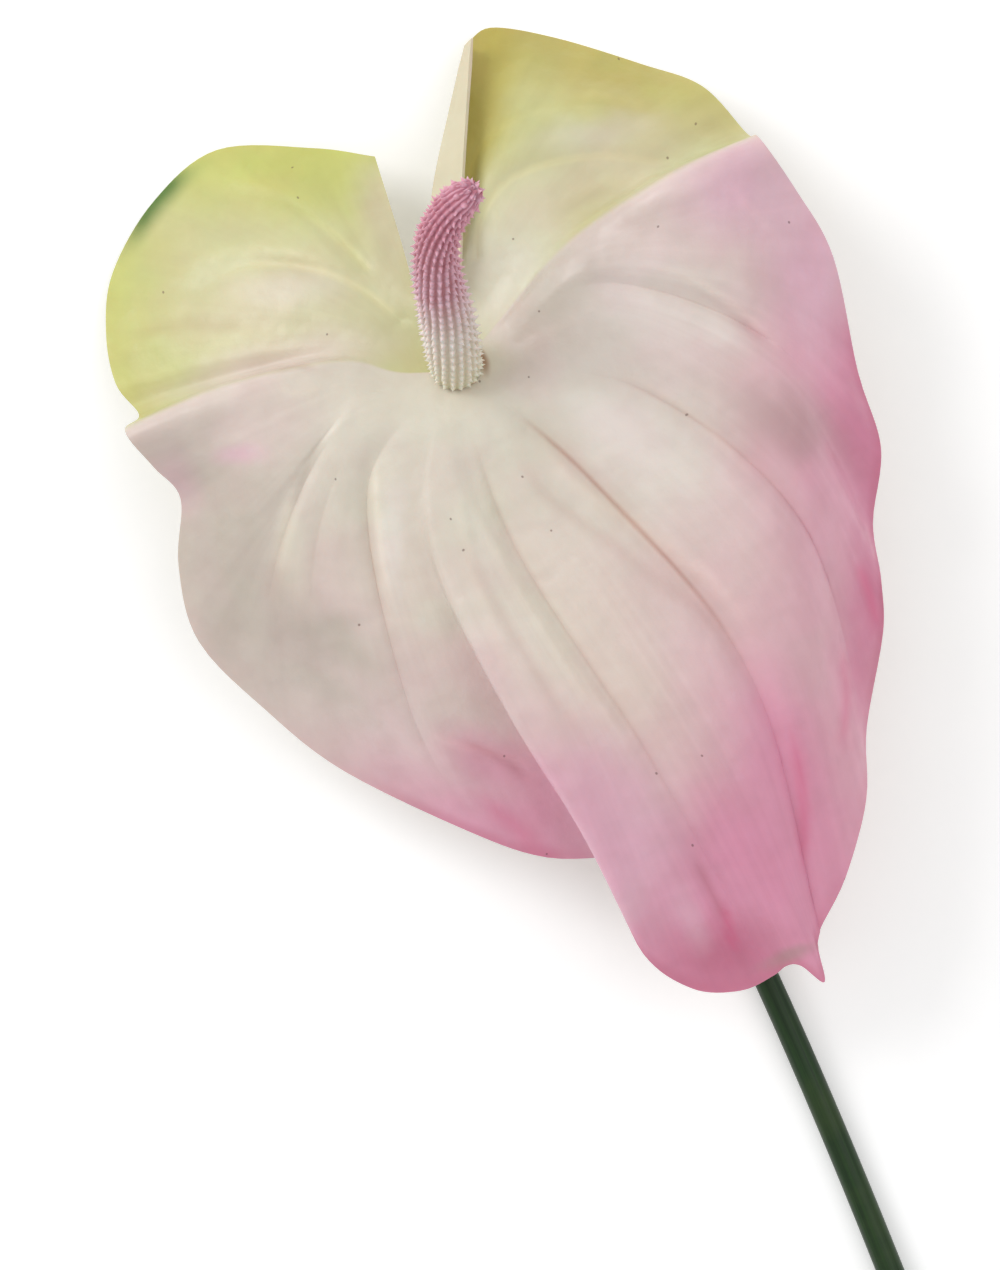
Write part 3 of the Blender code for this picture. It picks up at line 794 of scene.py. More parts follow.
SPOKES = (
    Spoke("left sinus edge", 100, (-1.2, 17, -6), (0.8, 31.5, -14), (2.7, 47, -24)),
    Spoke("left lobe 1", 108, (-4.5, 18, -6.5), (-7, 35, -14), (-8, 53.8, -28)),
    Spoke("left lobe 2", 116, (-8, 19, -7), (-15, 38.5, -15), (-26, 61.7, -34)),
    Spoke("left lobe 3", 123, (-11, 18.5, -7), (-23.5, 37, -15), (-42, 57.4, -35)),
    Spoke("left lobe 4", 130, (-13.5, 17.5, -6.5), (-31.5, 32.5, -14.5), (-55.3, 47.6, -33)),
    Spoke("left lobe 5", 137, (-15.5, 16, -6), (-36.5, 27, -13.5), (-61.4, 37, -29)),
    Spoke("left lobe 6", 145, (-17.5, 14, -5.5), (-39.5, 21.5, -12.5), (-63.8, 26.5, -25)),
    Spoke("left pleat foot", 151, (-19, 12, -4.5), (-41, 16.8, -11.5), (-62, 18.5, -20)),
    Spoke("left pleat crest", 157, (-20, 10.5, -2), (-42.5, 15.5, 2), (-65.5, 16, 0)),
    Spoke("left wing 1", 165, (-20.5, 6.5, 1), (-42, 8, 4), (-63.2, 7.5, -3)),
    Spoke("left notch", 172, (-22, 3.5, 2.5), (-43, 1, 4), (-60.9, -0.5, -8)),
    Spoke("left wing 2", 177, (-24, 1.5, 3.5), (-46, -7, 3), (-66.8, -12.5, -12)),
    Spoke("left wing 3", 182, (-26.5, 0, 4), (-48, -14, 1.5), (-69.4, -28, -15)),
    Spoke("wing vein", 187, (-28, -2, 4.5), (-49, -21, 1), (-62.7, -46.2, -18)),
    Spoke("wing panel", 194, (-27.5, -7, 5), (-45, -29.5, 1.5), (-53.3, -63.8, -19)),
    Spoke("left vein", 203, (-26.5, -15.5, 5), (-35.7, -56, 1), (-34.6, -85.8, -18)),
    Spoke("left valley", 214, (-22.8, -22.5, 5.5), (-27, -61.5, 1), (-23, -96.3, -17)),
    Spoke("low pleat foot", 224, (-19.5, -28, 6), (-17.5, -66, 1), (-10.5, -101.8, -15)),
    Spoke("low pleat crest", 229, (-18, -31, 8), (-17.8, -68.5, 10), (-12.6, -102.5, -4)),
    Spoke("tip left 1", 238, (-13, -33.5, 8.5), (-11.8, -76, 12), (-13.2, -121.5, -5)),
    Spoke("tip left 2", 245, (-9.5, -35, 8), (-6, -81.3, 12.5), (-7.2, -132, -10)),
    Spoke("tip left 3", 251, (-6.6, -36.3, 7.5), (-1, -84.3, 12.8), (1.5, -136.4, -10)),
    Spoke("midrib", 258, (-3.6, -37.2, 7), (3.8, -86.3, 13), (8.6, -136.4, -10)),
    Spoke("tip hollow", 267, (1.2, -38.2, 7), (8.8, -87.3, 13), (12.2, -135.6, -9)),
    Spoke("hook left", 275, (5.5, -38, 7.3), (12.8, -87.3, 13), (14.8, -136.8, -8)),
    Spoke("hook", 280, (8.5, -37.3, 7.5), (16.3, -86.3, 12.5), (17.6, -141.7, -9)),
    Spoke("hook right", 285, (11.3, -35.5, 7.3), (20.8, -84.4, 12), (18.9, -136.2, -7)),
    Spoke("right vein", 294, (16.3, -32.3, 7), (28.8, -79, 10.5), (21, -131.8, -5)),
    Spoke("right panel 1", 306, (23.5, -29, 7.5), (36.8, -73.5, 10), (30, -124, -6)),
    Spoke("right panel 2", 318, (29, -23, 7), (44, -65, 9), (40, -111.7, -9)),
    Spoke("side vein", 332, (32.3, -18.5, 6), (50.4, -55, 7), (46, -98.7, -12)),
    Spoke("right side 1", 343, (34.5, -9, 6), (54.5, -45, 6), (57, -82.3, -13)),
    Spoke("right side 2", 350, (35, -4, 6), (57, -36, 5), (60.8, -72.6, -11)),
    Spoke("right notch", 357, (34.5, 0, 5.5), (58.5, -27, 5), (64, -61.6, -14)),
    Spoke("upper side vein", 363, (33, 4.5, 5), (58.5, -18, 5), (71.5, -48.5, -10)),
    Spoke("right side 3", 369, (33, 7.5, 5), (59.5, -9.5, 6), (73.6, -32.5, -12)),
    Spoke("right side 4", 375, (32.5, 10, 4), (59, 0, 7), (78.3, -9.5, -7)),
    Spoke("right side 5", 381, (31.5, 12, 2.5), (57.5, 8.5, 7.5), (76.8, 5.5, -2)),
    Spoke("right pleat crest", 387, (30, 13.5, -0.5), (54.5, 17.6, 7), (74.2, 17.8, 3)),
    Spoke("right pleat foot", 394, (27, 15.5, -4), (52.5, 20, -9), (73, 20.3, -16)),
    Spoke("right lobe 1", 403, (22.5, 19, -6), (47, 28, -12), (69, 33, -25)),
    Spoke("right lobe 2", 412, (17.5, 21.5, -6.5), (38.5, 36, -13), (59.8, 42.4, -32)),
    Spoke("right lobe 3", 421, (13, 22, -6.5), (29.5, 40, -14), (46, 54.6, -35)),
    Spoke("right lobe 4", 429, (9.5, 20.5, -6.5), (20, 38.5, -15), (34.7, 61.8, -33)),
    Spoke("right roll", 437, (5, 18.5, -5), (9.8, 34, -11), (28.6, 60.2, -28)),
    Spoke("right sinus edge", 444, (8.2, 17.2, -2.5), (16.8, 34.8, -7.5), (30.4, 61, -25)),
)
ROW_KNOTS = (0, 0.035, 0.065, 0.38, 0.70, 1)


def spoke_place(name: str) -> int:
    """The place round the fan of the spoke with this name."""
    return [spoke.name for spoke in SPOKES].index(name)


class SpokeVein(NamedTuple):
    """An impressed vein along a spoke, with its depth and half width in mm.

    It comes in and fades at shares of the spoke. Its fine line has a strength and a share where it ends.
    """

    spoke: str
    depth: float
    half_width: float
    comes_in: float
    fades: float
    line: float
    line_ends: float


SPOKE_VEINS = (
    SpokeVein("wing vein", 1.3, 2.8, 0.52, 0.60, 0.15, 0.7),
    SpokeVein("wing panel", 0.8, 2.2, 0.52, 0.58, 0.1, 0.65),
    SpokeVein("left vein", 2.2, 4.0, 0.33, 0.72, 0.12, 0.6),
    SpokeVein("low pleat foot", 0.4, 2.2, 0.60, 0.9, 0.3, 0.9),
    SpokeVein("midrib", 2.2, 3.8, 0.28, 0.88, 0.3, 0.72),
    SpokeVein("right vein", 2.9, 4.0, 0.25, 0.92, 0.9, 0.62),
    SpokeVein("side vein", 2.2, 3.8, 0.38, 0.76, 0.3, 0.7),
    SpokeVein("upper side vein", 1.6, 3.0, 0.48, 0.66, 0.15, 0.65),
)


class LobeVein(NamedTuple):
    """An impressed vein that arches across a lobe, with the lobe's first and last spoke."""

    line: tuple[Flat, ...]
    depth: float
    half_width: float
    lobe: tuple[int, int]


LOBE_VEINS = (
    LobeVein(((-6.2, 14), (-10, 22), (-15.9, 29.2), (-24.3, 34.8), (-32.3, 37.4), (-40, 36.3)),
             1.3, 2.6, (0, 7)),
    LobeVein(((-7.9, 26.6), (-11.3, 35.4), (-15.4, 42.7), (-23.2, 49.8), (-30, 55)), 1.0, 2.4, (0, 7)),
    LobeVein(((13, 19.5), (16, 25), (25, 31), (34, 30.9), (42.3, 28.8), (57, 20.5)), 1.5, 2.8, (38, 45)),
    LobeVein(((17, 31), (20.7, 37.6), (27.3, 41.2), (36.6, 41.6), (46.4, 38.5), (56, 32.5)),
             1.1, 2.8, (38, 45)),
)


class Mark(Enum):
    """The kinds of small mark on the blade, by the attribute that carries each."""

    # a ridge carries painted highlight, a crease painted shade, and a flush the blade's own rose streaks
    RIDGE = "gleam"
    CREASE = "shade"
    FLUSH = "flush"


class Fold(NamedTuple):
    """A small ridge, crease or streak as seen from above in picture points; its sizes are in mm."""

    name: str
    mark: Mark
    part: Part
    line: tuple[Flat, ...]
    height: float
    half_width: float
    strength: float = 1.0


# Ridges and creases are raised and pressed into the surface, and also carry painted highlight and painted
# shade
FOLDS = (
    Fold("ridge of the left cream panel", Mark.RIDGE, Part.BODY,
         ((374, 440), (377, 500), (385, 570), (396, 645)), 0.35, 0.9),
    Fold("left tongue", Mark.RIDGE, Part.BODY, ((298, 480), (284, 545), (274, 618)), 0.4, 1.6, 0.8),
    Fold("upper wrinkle at the left fold", Mark.CREASE, Part.BODY, ((272, 374), (295, 368), (322, 372)),
         -0.3, 0.7, 0.6),
    Fold("lower wrinkle at the left fold", Mark.RIDGE, Part.BODY,
         ((276, 388), (298, 395), (326, 387)), 0.3, 0.8, 0.7),
    Fold("lip of the upper side vein", Mark.RIDGE, Part.BODY,
         ((640, 268), (690, 280), (735, 308), (770, 340), (792, 372)), 0.4, 0.6),
    # painted shade under the lip of the upper side vein
    Fold("rose shade under the upper side vein", Mark.CREASE, Part.BODY,
         ((660, 282), (700, 296), (740, 323), (775, 358)), -0.2, 0.8, 0.25),
    Fold("right shoulder ridge", Mark.RIDGE, Part.BODY, ((728, 183), (752, 212), (784, 248)), 0.3, 0.9, 0.5),
    Fold("lip of the side vein", Mark.RIDGE, Part.BODY,
         ((600, 365), (660, 392), (712, 432), (760, 490)), 0.3, 0.8, 0.6),
    Fold("crest beside the right vein", Mark.RIDGE, Part.BODY,
         ((519, 394), (560, 468), (640, 529), (738, 609), (786, 690)), 0.45, 1.6, 0.7),
    Fold("shade beside the right vein", Mark.CREASE, Part.BODY,
         ((499, 408), (539, 488), (617, 549), (717, 631), (767, 712)), -0.25, 1.5, 0.45),
    Fold("crest beside the midrib", Mark.RIDGE, Part.BODY,
         ((452, 470), (512, 580), (600, 710), (655, 775)), 0.35, 1.5, 0.5),
    Fold("shade beside the midrib", Mark.CREASE, Part.BODY,
         ((440, 500), (488, 592), (576, 728), (630, 790)), -0.2, 1.4, 0.3),
    Fold("low left crease", Mark.CREASE, Part.BODY, ((455, 738), (490, 752), (533, 782)), -0.4, 0.9, 0.8),
    Fold("pink ridge of the left wing", Mark.RIDGE, Part.BODY,
         ((424, 722), (447, 742), (485, 750), (519, 760), (540, 775)), 0.45, 0.9, 0.7),
    Fold("crease of the tip", Mark.CREASE, Part.BODY, ((690, 850), (708, 885), (731, 932)), -0.4, 0.9, 0.8),
    Fold("streak beside the right vein", Mark.FLUSH, Part.BODY,
         ((786, 715), (797, 760), (804, 820), (800, 885)), 0.0, 1.2, 0.8),
    Fold("streak of the tip", Mark.FLUSH, Part.BODY, ((722, 896), (728, 925), (737, 958)), 0.0, 1.0, 0.9),
    Fold("streak of the right margin", Mark.FLUSH, Part.BODY,
         ((853, 556), (868, 590), (880, 640)), 0.0, 1.2, 0.9),
    Fold("second streak of the right margin", Mark.FLUSH, Part.BODY, ((838, 640), (845, 700), (838, 760)),
         0.0, 1.0, 0.6),
    Fold("streak of the left low margin", Mark.FLUSH, Part.BODY,
         ((470, 790), (520, 830), (560, 880)), 0.0, 1.6, 0.5),
    Fold("bright strip of the middle", Mark.RIDGE, Part.BODY,
         ((455, 470), (470, 560), (520, 700)), 0.2, 1.4, 0.5),
    Fold("cream ridge of the heart", Mark.RIDGE, Part.BODY,
         ((470, 410), (480, 470), (505, 560)), 0.25, 1.6, 0.5),
    Fold("left lobe's upper fold", Mark.RIDGE, Part.LEFT_LOBE,
         ((200, 170), (270, 182), (345, 220)), 0.3, 1.5, 0.5),
    Fold("left lobe's middle fold", Mark.RIDGE, Part.LEFT_LOBE,
         ((150, 290), (210, 250), (290, 250), (365, 285)), 0.3, 1.5, 0.5),
    Fold("left lobe's crossing crease", Mark.CREASE, Part.LEFT_LOBE, ((115, 335), (180, 322), (260, 330)),
         -0.25, 1.4, 0.4),
    Fold("right lobe's upper fold", Mark.RIDGE, Part.RIGHT_LOBE,
         ((520, 130), (585, 92), (660, 108)), 0.3, 1.4, 0.5),
    Fold("right lobe's middle fold", Mark.RIDGE, Part.RIGHT_LOBE,
         ((545, 200), (620, 180), (700, 190)), 0.3, 1.4, 0.5),
)

NECK_AXIS = np.array((0.13, 0.50, 0.86)) / np.linalg.norm((0.13, 0.50, 0.86))


@dataclass
class Spathe:
    """The heart-shaped blade, a fan of spokes from the neck to the margin. Sizes are in mm."""

    thickness: float = 0.8
    margin_thickness: float = 0.45
    rings: tuple[float, float, float] = (2.9, 6.3, 8.4)
    lines_per_span: int = 8
    rows: int = 110
    crowding: float = 1.15
    vein_crowding: float = 1.6
    groove_floor: float = 0.35
    fade_in: float = 0.18
    fade_out: float = 0.22
    lobe_span: Flat = (0.28, 0.76)
    lobes: tuple[int, int] = (8, 38)
    body_fade: float = 0.6
    fold_fade: float = 0.3
    margin_width: float = 6
    finish: WaxyBlade = WaxyBlade()

    def neck_point(self, degrees: float, radius: float) -> np.ndarray:
        """Point of a ring round the stem's top, in the plane square to the neck's axis."""
        across = unit(np.cross((0, 1, 0), NECK_AXIS))
        along = np.cross(NECK_AXIS, across)
        turn = math.radians(degrees)
        return radius * (math.cos(turn) * across + math.sin(turn) * along)

    def fan_points(self) -> np.ndarray:
        """Control points of the fan: one row for each spoke, from the neck to the margin."""
        rows = []
        for spoke in SPOKES:
            near = [self.neck_point(spoke.neck_deg, radius) for radius in self.rings]
            rows.append((*near, spoke.inner, spoke.outer, spoke.rim))
        return np.array(rows, float)

    def held(self, share: np.ndarray, comes_in: float, fades: float) -> np.ndarray:
        """How much of a vein's depth is there at each share of its spoke."""
        return ease((share - comes_in + self.fade_in) / self.fade_in) * ease(
            (fades + self.fade_out - share) / self.fade_out)

    def groove(self, away: np.ndarray, depth: float, half_width: float) -> np.ndarray:
        """Cross-section of a pressed-in vein, with the blade puffed up on both sides of it."""
        return depth * np.exp(-np.hypot(away, self.groove_floor) / half_width)

    def surface(self, fan: np.ndarray, shares: np.ndarray) -> tuple[np.ndarray, np.ndarray]:
        """Middle surface of the blade.

        Args:
            fan: places round the fan, in spokes.
            shares: places out along a spoke, from 0 to 1.

        Returns:
            The grid of points in mm, and the distance of each from the nearest lobe vein.
        """
        by_spoke = spline(ROW_KNOTS, np.moveaxis(self.fan_points(), 1, 0), shares)
        grid = spline(range(len(SPOKES)), np.moveaxis(by_spoke, 1, 0), fan)
        flat = grid[..., :2].copy()
        for vein in SPOKE_VEINS:
            away = np.linalg.norm(flat - by_spoke[None, :, spoke_place(vein.spoke), :2], axis=-1)
            grid[..., 2] -= self.groove(away, vein.depth, vein.half_width) * self.held(
                shares, vein.comes_in, vein.fades)
        nearest = np.full(flat.shape[:2], 99.0)
        for arch in LOBE_VEINS:
            first, last = arch.lobe
            on_lobe = np.clip(fan - first, 0, 1) * np.clip(last - fan, 0, 1)
            away, _ = nearest_on_line(flat, even_line(arch.line, 24))
            grid[..., 2] -= self.groove(away, arch.depth, arch.half_width) * (
                on_lobe[:, None] * self.held(shares, *self.lobe_span))
            nearest = np.where(on_lobe[:, None] > 0, np.minimum(nearest, away), nearest)
        return grid, nearest

    def fan_places(self) -> np.ndarray:
        """Places round the fan, closer together beside each vein."""
        veins = {spoke_place(vein.spoke) for vein in SPOKE_VEINS}
        even = np.arange(self.lines_per_span) / self.lines_per_span
        places = []
        for k in range(len(SPOKES) - 1):
            steps = even
            if k in veins and k + 1 in veins:
                steps = ease(even)
            elif k in veins:
                steps = even**self.vein_crowding
            elif k + 1 in veins:
                steps = 1 - (1 - even) ** self.vein_crowding
            places.extend(k + steps)
        return np.array([*places, len(SPOKES) - 1])

    def folded(self, grid: np.ndarray, fan: np.ndarray) -> dict[str, np.ndarray]:
        """Raises the small ridges and presses the creases into the surface.

        Args:
            grid: the surface's points, whose heights are changed.
            fan: places round the fan, in spokes.

        Returns:
            How much of each kind of mark stands at each point, by attribute.
        """
        low, high = self.lobes
        masks = {
            Part.LEFT_LOBE: ease(low - fan), Part.RIGHT_LOBE: ease(fan - high),
            Part.BODY: ease((fan - low + 1) / self.body_fade) * ease((high + 1 - fan) / self.body_fade),
        }
        marks = {mark.value: np.zeros(grid.shape[:2]) for mark in Mark}
        for fold in FOLDS:
            away, passed = nearest_on_line(grid[..., :2], even_line(LAYOUT.flat_line(fold.line), 24))
            ends = ease(passed / self.fold_fade) * ease((1 - passed) / self.fold_fade)
            shape = np.exp(-((away / fold.half_width) ** 2)) * ends * masks[fold.part][:, None]
            grid[..., 2] += fold.height * shape
            marks[fold.mark.value] = np.maximum(marks[fold.mark.value], fold.strength * shape)
        return marks

    def build(self) -> bpy.types.Object:
        """Makes the blade's mesh, both faces alike, closed by a strip round its edge."""
        fan = self.fan_places()
        count = len(fan)
        shares = np.linspace(0, 1, self.rows + 1) ** self.crowding
        middle, arch = self.surface(fan, shares)
        marks = self.folded(middle, fan)
        normals = unit(np.cross(np.gradient(middle, axis=1), np.gradient(middle, axis=0)))
        span = np.linalg.norm(np.gradient(middle, fan, axis=0), axis=-1)
        hem = np.linalg.norm(middle[:, -1:] - middle, axis=-1)
        to_margin = np.minimum(1, hem / self.margin_width)
        half = (self.margin_thickness + (self.thickness - self.margin_thickness) * ease(to_margin)) / 2
        upper = middle + normals * half[..., None]
        lower = middle - normals * half[..., None]
        points = np.concatenate((upper.reshape(-1, 3), lower.reshape(-1, 3)))
        high, under = middle.shape[1], count * middle.shape[1]
        a = (np.arange(count - 1)[:, None] * high + np.arange(high - 1)[None, :]).ravel()
        top = np.stack((a, a + 1, a + high + 1, a + high), axis=1)
        faces = np.concatenate((top, under + top[:, ::-1])).tolist()
        rim = [i * high for i in range(count)]
        rim += [(count - 1) * high + j for j in range(1, high)]
        rim += [i * high + high - 1 for i in range(count - 2, -1, -1)]
        rim += list(range(high - 2, 0, -1))
        faces += [(p, q, under + q, under + p) for p, q in zip(rim, rim[1:] + rim[:1])]
        fans = np.repeat(fan, high)
        outward = np.tile(shares, count)
        numbers = {
            "fan": np.tile(fans, 2), "share": np.tile(outward, 2), "span": np.tile(span.ravel(), 2),
            "arch": np.tile(arch.ravel(), 2), "hem": np.tile(hem.ravel(), 2),
            "under": np.repeat((0.0, 1.0), under),
        }
        numbers |= {name: np.tile(mark.ravel(), 2) for name, mark in marks.items()}
        piece = new_piece("spathe_blade", LAYOUT.placed(points), faces, numbers)
        dressed(piece, self.finish.material(), "spathe")
        return piece


# The spadix


@dataclass(frozen=True)
class FleshySpike:
    """The spadix's finish: cream at its base, lilac pink above and rose at its tip."""

    roughness: float = 0.45
    # valley stops: the spike's colour between florets, darkened partly as painted shade
    valley: Stops = ((0.0, (222, 210, 176)), (0.28, (212, 194, 178)), (0.5, (180, 118, 124)),
                     (0.78, (174, 98, 112)), (1.0, (184, 112, 130)))
    # ridge stops: the florets' pale tips, lightened partly as painted highlight
    ridge: Stops = ((0.0, (238, 230, 208)), (0.3, (232, 218, 214)), (0.52, (220, 180, 194)),
                    (0.8, (212, 152, 170)), (1.0, (218, 162, 180)))

    def ramp(self, bench: Bench, along: Wire, stops: Stops) -> Wire:
        """A colour that changes along the spike."""
        lit = [(place, paint(*colour)) for place, colour in stops]
        return bench.add("ShaderNodeValToRGB", {"stops": lit}, {0: along})

    def material(self) -> Material:
        """Builds the spadix's material."""
        made = Material("fleshy spike", {
            "Roughness": self.roughness, "Subsurface Weight": 0.3, "Subsurface Scale": 0.002,
            "Subsurface Radius": (1.0, 0.45, 0.35), "Coat Weight": 0.1, "Coat Roughness": 0.25,
        })
        bench = made.bench
        along, crest = bench.read("along"), bench.read("crest")
        valley, ridge = (self.ramp(bench, along, stops) for stops in (self.valley, self.ridge))
        blotch = bench.noise(bench.place(), 320, 2)
        colour = bench.mixed(bench.eased(crest + (blotch - 0.5) * 0.4, 0.0, 0.55), valley, ridge)
        dull, bright = self.roughness + 0.1, self.roughness - 0.1
        made.feed(Base_Color=colour, Roughness=bench.eased(crest, 0, 1, dull, bright))
        made.bump(bench.noise(bench.place(), 1500, 3), 0.2, 0.0002)
        return made


SPADIX_LINE = (
    (0, 0, 0),
    (1.3, 5.1, 8.8),
    (2.6, 10.6, 15.8),
    (4.1, 18.2, 26),
    (6.8, 24.2, 34),
    (12.0, 28.4, 40.5),
    (17.6, 30.2, 43.3),
)


@dataclass
class Spadix:
    """The bent spike and the florets that stand in rows all over it. Sizes are in mm."""

    radii: tuple[float, ...] = (4.75, 4.9, 4.4, 3.6, 3.1)
    heights: tuple[float, ...] = (1.3, 1.5, 1.5, 1.5, 1.5)
    seat: float = 0.7
    florets_round: int = 18
    floret_rings: int = 28
    row_twist: float = 0.02
    tip_starts: float = 0.93
    tip_flat: float = 0.12
    base_waist: float = 0.06
    waist_ends: float = 0.06
    round_steps: int = 144
    along_steps: int = 200
    ridge: float = 0.36
    ridge_crest: float = 0.4
    rooted: float = 0.5
    tip_spike: float = 1.4
    tip_thins: float = 0.93
    usual_girth: float = 4.9
    sparse_breadth: float = 1.6
    tip_breadth: float = 1.2
    tip_rings: tuple[tuple[int, float, float, float], ...] = (
        (9, 2.1, 1.0, 30), (5, 1.1, 0.2, 60), (1, 0.0, 0.0, 90))
    finish: FleshySpike = FleshySpike()

    def middle_line(self, count: int) -> np.ndarray:
        """The spadix's middle line, read at evenly spaced places."""
        return even_line([NECK_AXIS * self.seat + point for point in np.array(SPADIX_LINE, float)], count)

    def core_radius(self, share: np.ndarray) -> np.ndarray:
        """Radius of the fleshy core at each share of its length."""
        radius = spline(np.linspace(0, 1, len(self.radii)), self.radii, share)
        past_tip = np.clip((share - self.tip_starts) / (1 - self.tip_starts), 0, 1)
        radius = radius * np.sqrt(np.clip(1 - past_tip**2, self.tip_flat, 1))
        return radius * (1 - self.base_waist * np.clip(1 - share / self.waist_ends, 0, 1))

    def twist(self, share: np.ndarray) -> np.ndarray:
        """How far the rows have turned round the spike."""
        return share * 2 * self.floret_rings * self.row_twist

    def core(self) -> tuple[np.ndarray, list[tuple[int, ...]], dict[str, np.ndarray]]:
        """The core's points, faces and numbers, with a low ridge under each row of florets."""
        line = self.middle_line(self.along_steps)
        _, sides, others = frames_along(line)
        share = np.linspace(0, 1, self.along_steps)
        turns = np.arange(self.round_steps) * 2 * math.pi / self.round_steps
        crest = 0.5 - 0.5 * np.cos(turns * self.florets_round)
        radius = self.core_radius(share)[:, None] + self.ridge * crest[None, :] ** 0.8
        around = turns[None, :] + self.twist(share)[:, None]
        rings = line[:, None] + radius[..., None] * (
            np.cos(around)[..., None] * sides[:, None] + np.sin(around)[..., None] * others[:, None])
        points = np.concatenate((rings.reshape(-1, 3), [rings[0].mean(0), rings[-1].mean(0)]))
        faces: list[tuple[int, ...]] = []
        for k in range(self.along_steps - 1):
            for i in range(self.round_steps):
                a, b = k * self.round_steps + i, k * self.round_steps + (i + 1) % self.round_steps
                faces.append((a, b, b + self.round_steps, a + self.round_steps))
        last = (self.along_steps - 1) * self.round_steps
        for i in range(self.round_steps):
            after = (i + 1) % self.round_steps
            faces.append((len(points) - 2, after, i))
            faces.append((len(points) - 1, last + i, last + after))
        numbers = {
            "along": np.concatenate((np.repeat(share, self.round_steps), (0, 1))),
            "crest": np.concatenate((np.tile(self.ridge_crest * crest, self.along_steps), (0, 0))),
        }
        return LAYOUT.placed(points), faces, numbers

    def places(self) -> tuple[np.ndarray, dict[str, np.ndarray]]:
        """Where the florets stand, and which way, how tall and how broad each is."""
        count = 2 * self.floret_rings + 1
        line = self.middle_line(count)
        forward, sides, others = frames_along(line)
        share = np.linspace(0, 1, count)
        radius = self.core_radius(share)
        tall = spline(np.linspace(0, 1, len(self.heights)), self.heights, share)
        spots: list[np.ndarray] = []
        ways: list[np.ndarray] = []
        fores: list[np.ndarray] = []
        sizes: list[tuple[float, float, float]] = []
        for k in range(1, count, 2):
            sparse = share[k] > self.tip_thins
            for i in range(0, self.florets_round, 2 if sparse else 1):
                turn = k * self.row_twist + (2 * i + 1) * math.pi / self.florets_round
                out = math.cos(turn) * sides[k] + math.sin(turn) * others[k]
                spots.append(line[k] + (radius[k] - self.rooted) * out)
                ways.append(out)
                fores.append(forward[k])
                girth = radius[k] * (self.sparse_breadth if sparse else 1)
                sizes.append((tall[k] + self.rooted, girth, share[k]))
        for amount, reach, back, lean_deg in self.tip_rings:
            for i in range(amount):
                turn = (i + 0.5 * reach) * 2 * math.pi / amount
                out = math.cos(turn) * sides[-1] + math.sin(turn) * others[-1]
                way = math.cos(math.radians(lean_deg)) * out + math.sin(math.radians(lean_deg)) * forward[-1]
                spots.append(line[-1] - back * forward[-1] + reach * out - 0.8 * self.rooted * way)
                ways.append(way)
                fores.append(out if lean_deg > 80 else forward[-1])
                sizes.append((self.tip_spike + self.rooted, self.radii[-1] * self.tip_breadth, 1.0))
        held = np.array(sizes)
        numbers = {"tall": held[:, 0], "girth": held[:, 1], "along": held[:, 2]}
        for axis, way, fore in zip("xyz", np.array(ways).T, np.array(fores).T):
            numbers["out_" + axis] = way
            numbers["fore_" + axis] = fore
        return LAYOUT.placed(np.array(spots)), numbers

    def floret_tree(self) -> bpy.types.NodeTree:
        """Geometry tree that stands one pointed floret on each point of its seed mesh."""
        bench, given = new_tree("florets", (
            ("Places", "Geometry", None), ("Length", "Float", 0.00155), ("Breadth", "Float", 0.00125),
            ("Point", "Float", 0.5), ("Unevenness", "Float", 0.12), ("Sides", "Int", 8), ("Steps", "Int", 3),
            ("Seed", "Int", 7), ("Finish", "Material", None)), "Florets")
        number = {"data_type": "FLOAT"}
        cone = bench.add("GeometryNodeMeshCone", {"fill_type": "NGON"}, {
            "Vertices": given.other("Sides"), "Side Segments": given.other("Steps"),
            "Radius Top": 0.0, "Radius Bottom": 1.0, "Depth": 1.0})
        spot = bench.add("ShaderNodeSeparateXYZ", None, {0: bench.add("GeometryNodeInputPosition")})
        height = spot.other("Z")
        narrow = (1.0001 - height) ** given.other("Point")
        shaped = bench.add("GeometryNodeSetPosition", None, {
            "Geometry": cone, "Position": bench.trio(spot * narrow, spot.other("Y") * narrow, height)})
        marked = bench.add("GeometryNodeStoreNamedAttribute", number, {
            "Geometry": shaped, "Name": "crest", "Value": bench.eased(height, 0.15, 1)})

        def carried(name: str) -> Wire:
            """A number that the seed mesh carries."""
            return bench.add("GeometryNodeInputNamedAttribute", number, {"Name": name})

        outward = bench.trio(carried("out_x"), carried("out_y"), carried("out_z"))
        fore = bench.trio(carried("fore_x"), carried("fore_y"), carried("fore_z"))
        spread = given.other("Unevenness")
        chance = bench.add("FunctionNodeRandomValue", {"data_type": "FLOAT_VECTOR"}, {
            0: (-1, -1, -1), 1: (1, 1, 1), "Seed": given.other("Seed")})
        leaning = bench.vector("ADD", outward, bench.scaled(chance, spread))
        upright = bench.add("FunctionNodeAlignRotationToVector", {"axis": "Z"}, {"Vector": leaning})
        turned = bench.add("FunctionNodeAlignRotationToVector", {"axis": "X", "pivot_axis": "Z"}, {
            "Rotation": upright, "Vector": fore})
        growth = bench.add("FunctionNodeRandomValue", number, {
            2: 1 - spread, 3: 1 + 0.4 * spread, "Seed": given.other("Seed") + 1}, 1)
        breadth = given.other("Breadth") * carried("girth") / self.usual_girth
        scale = bench.trio(given.other("Length"), breadth, carried("tall") * growth * MM)
        stood = bench.add("GeometryNodeInstanceOnPoints", None, {
            "Points": given, "Instance": marked, "Rotation": turned, "Scale": scale})
        return end_tree(bench, given, stood)

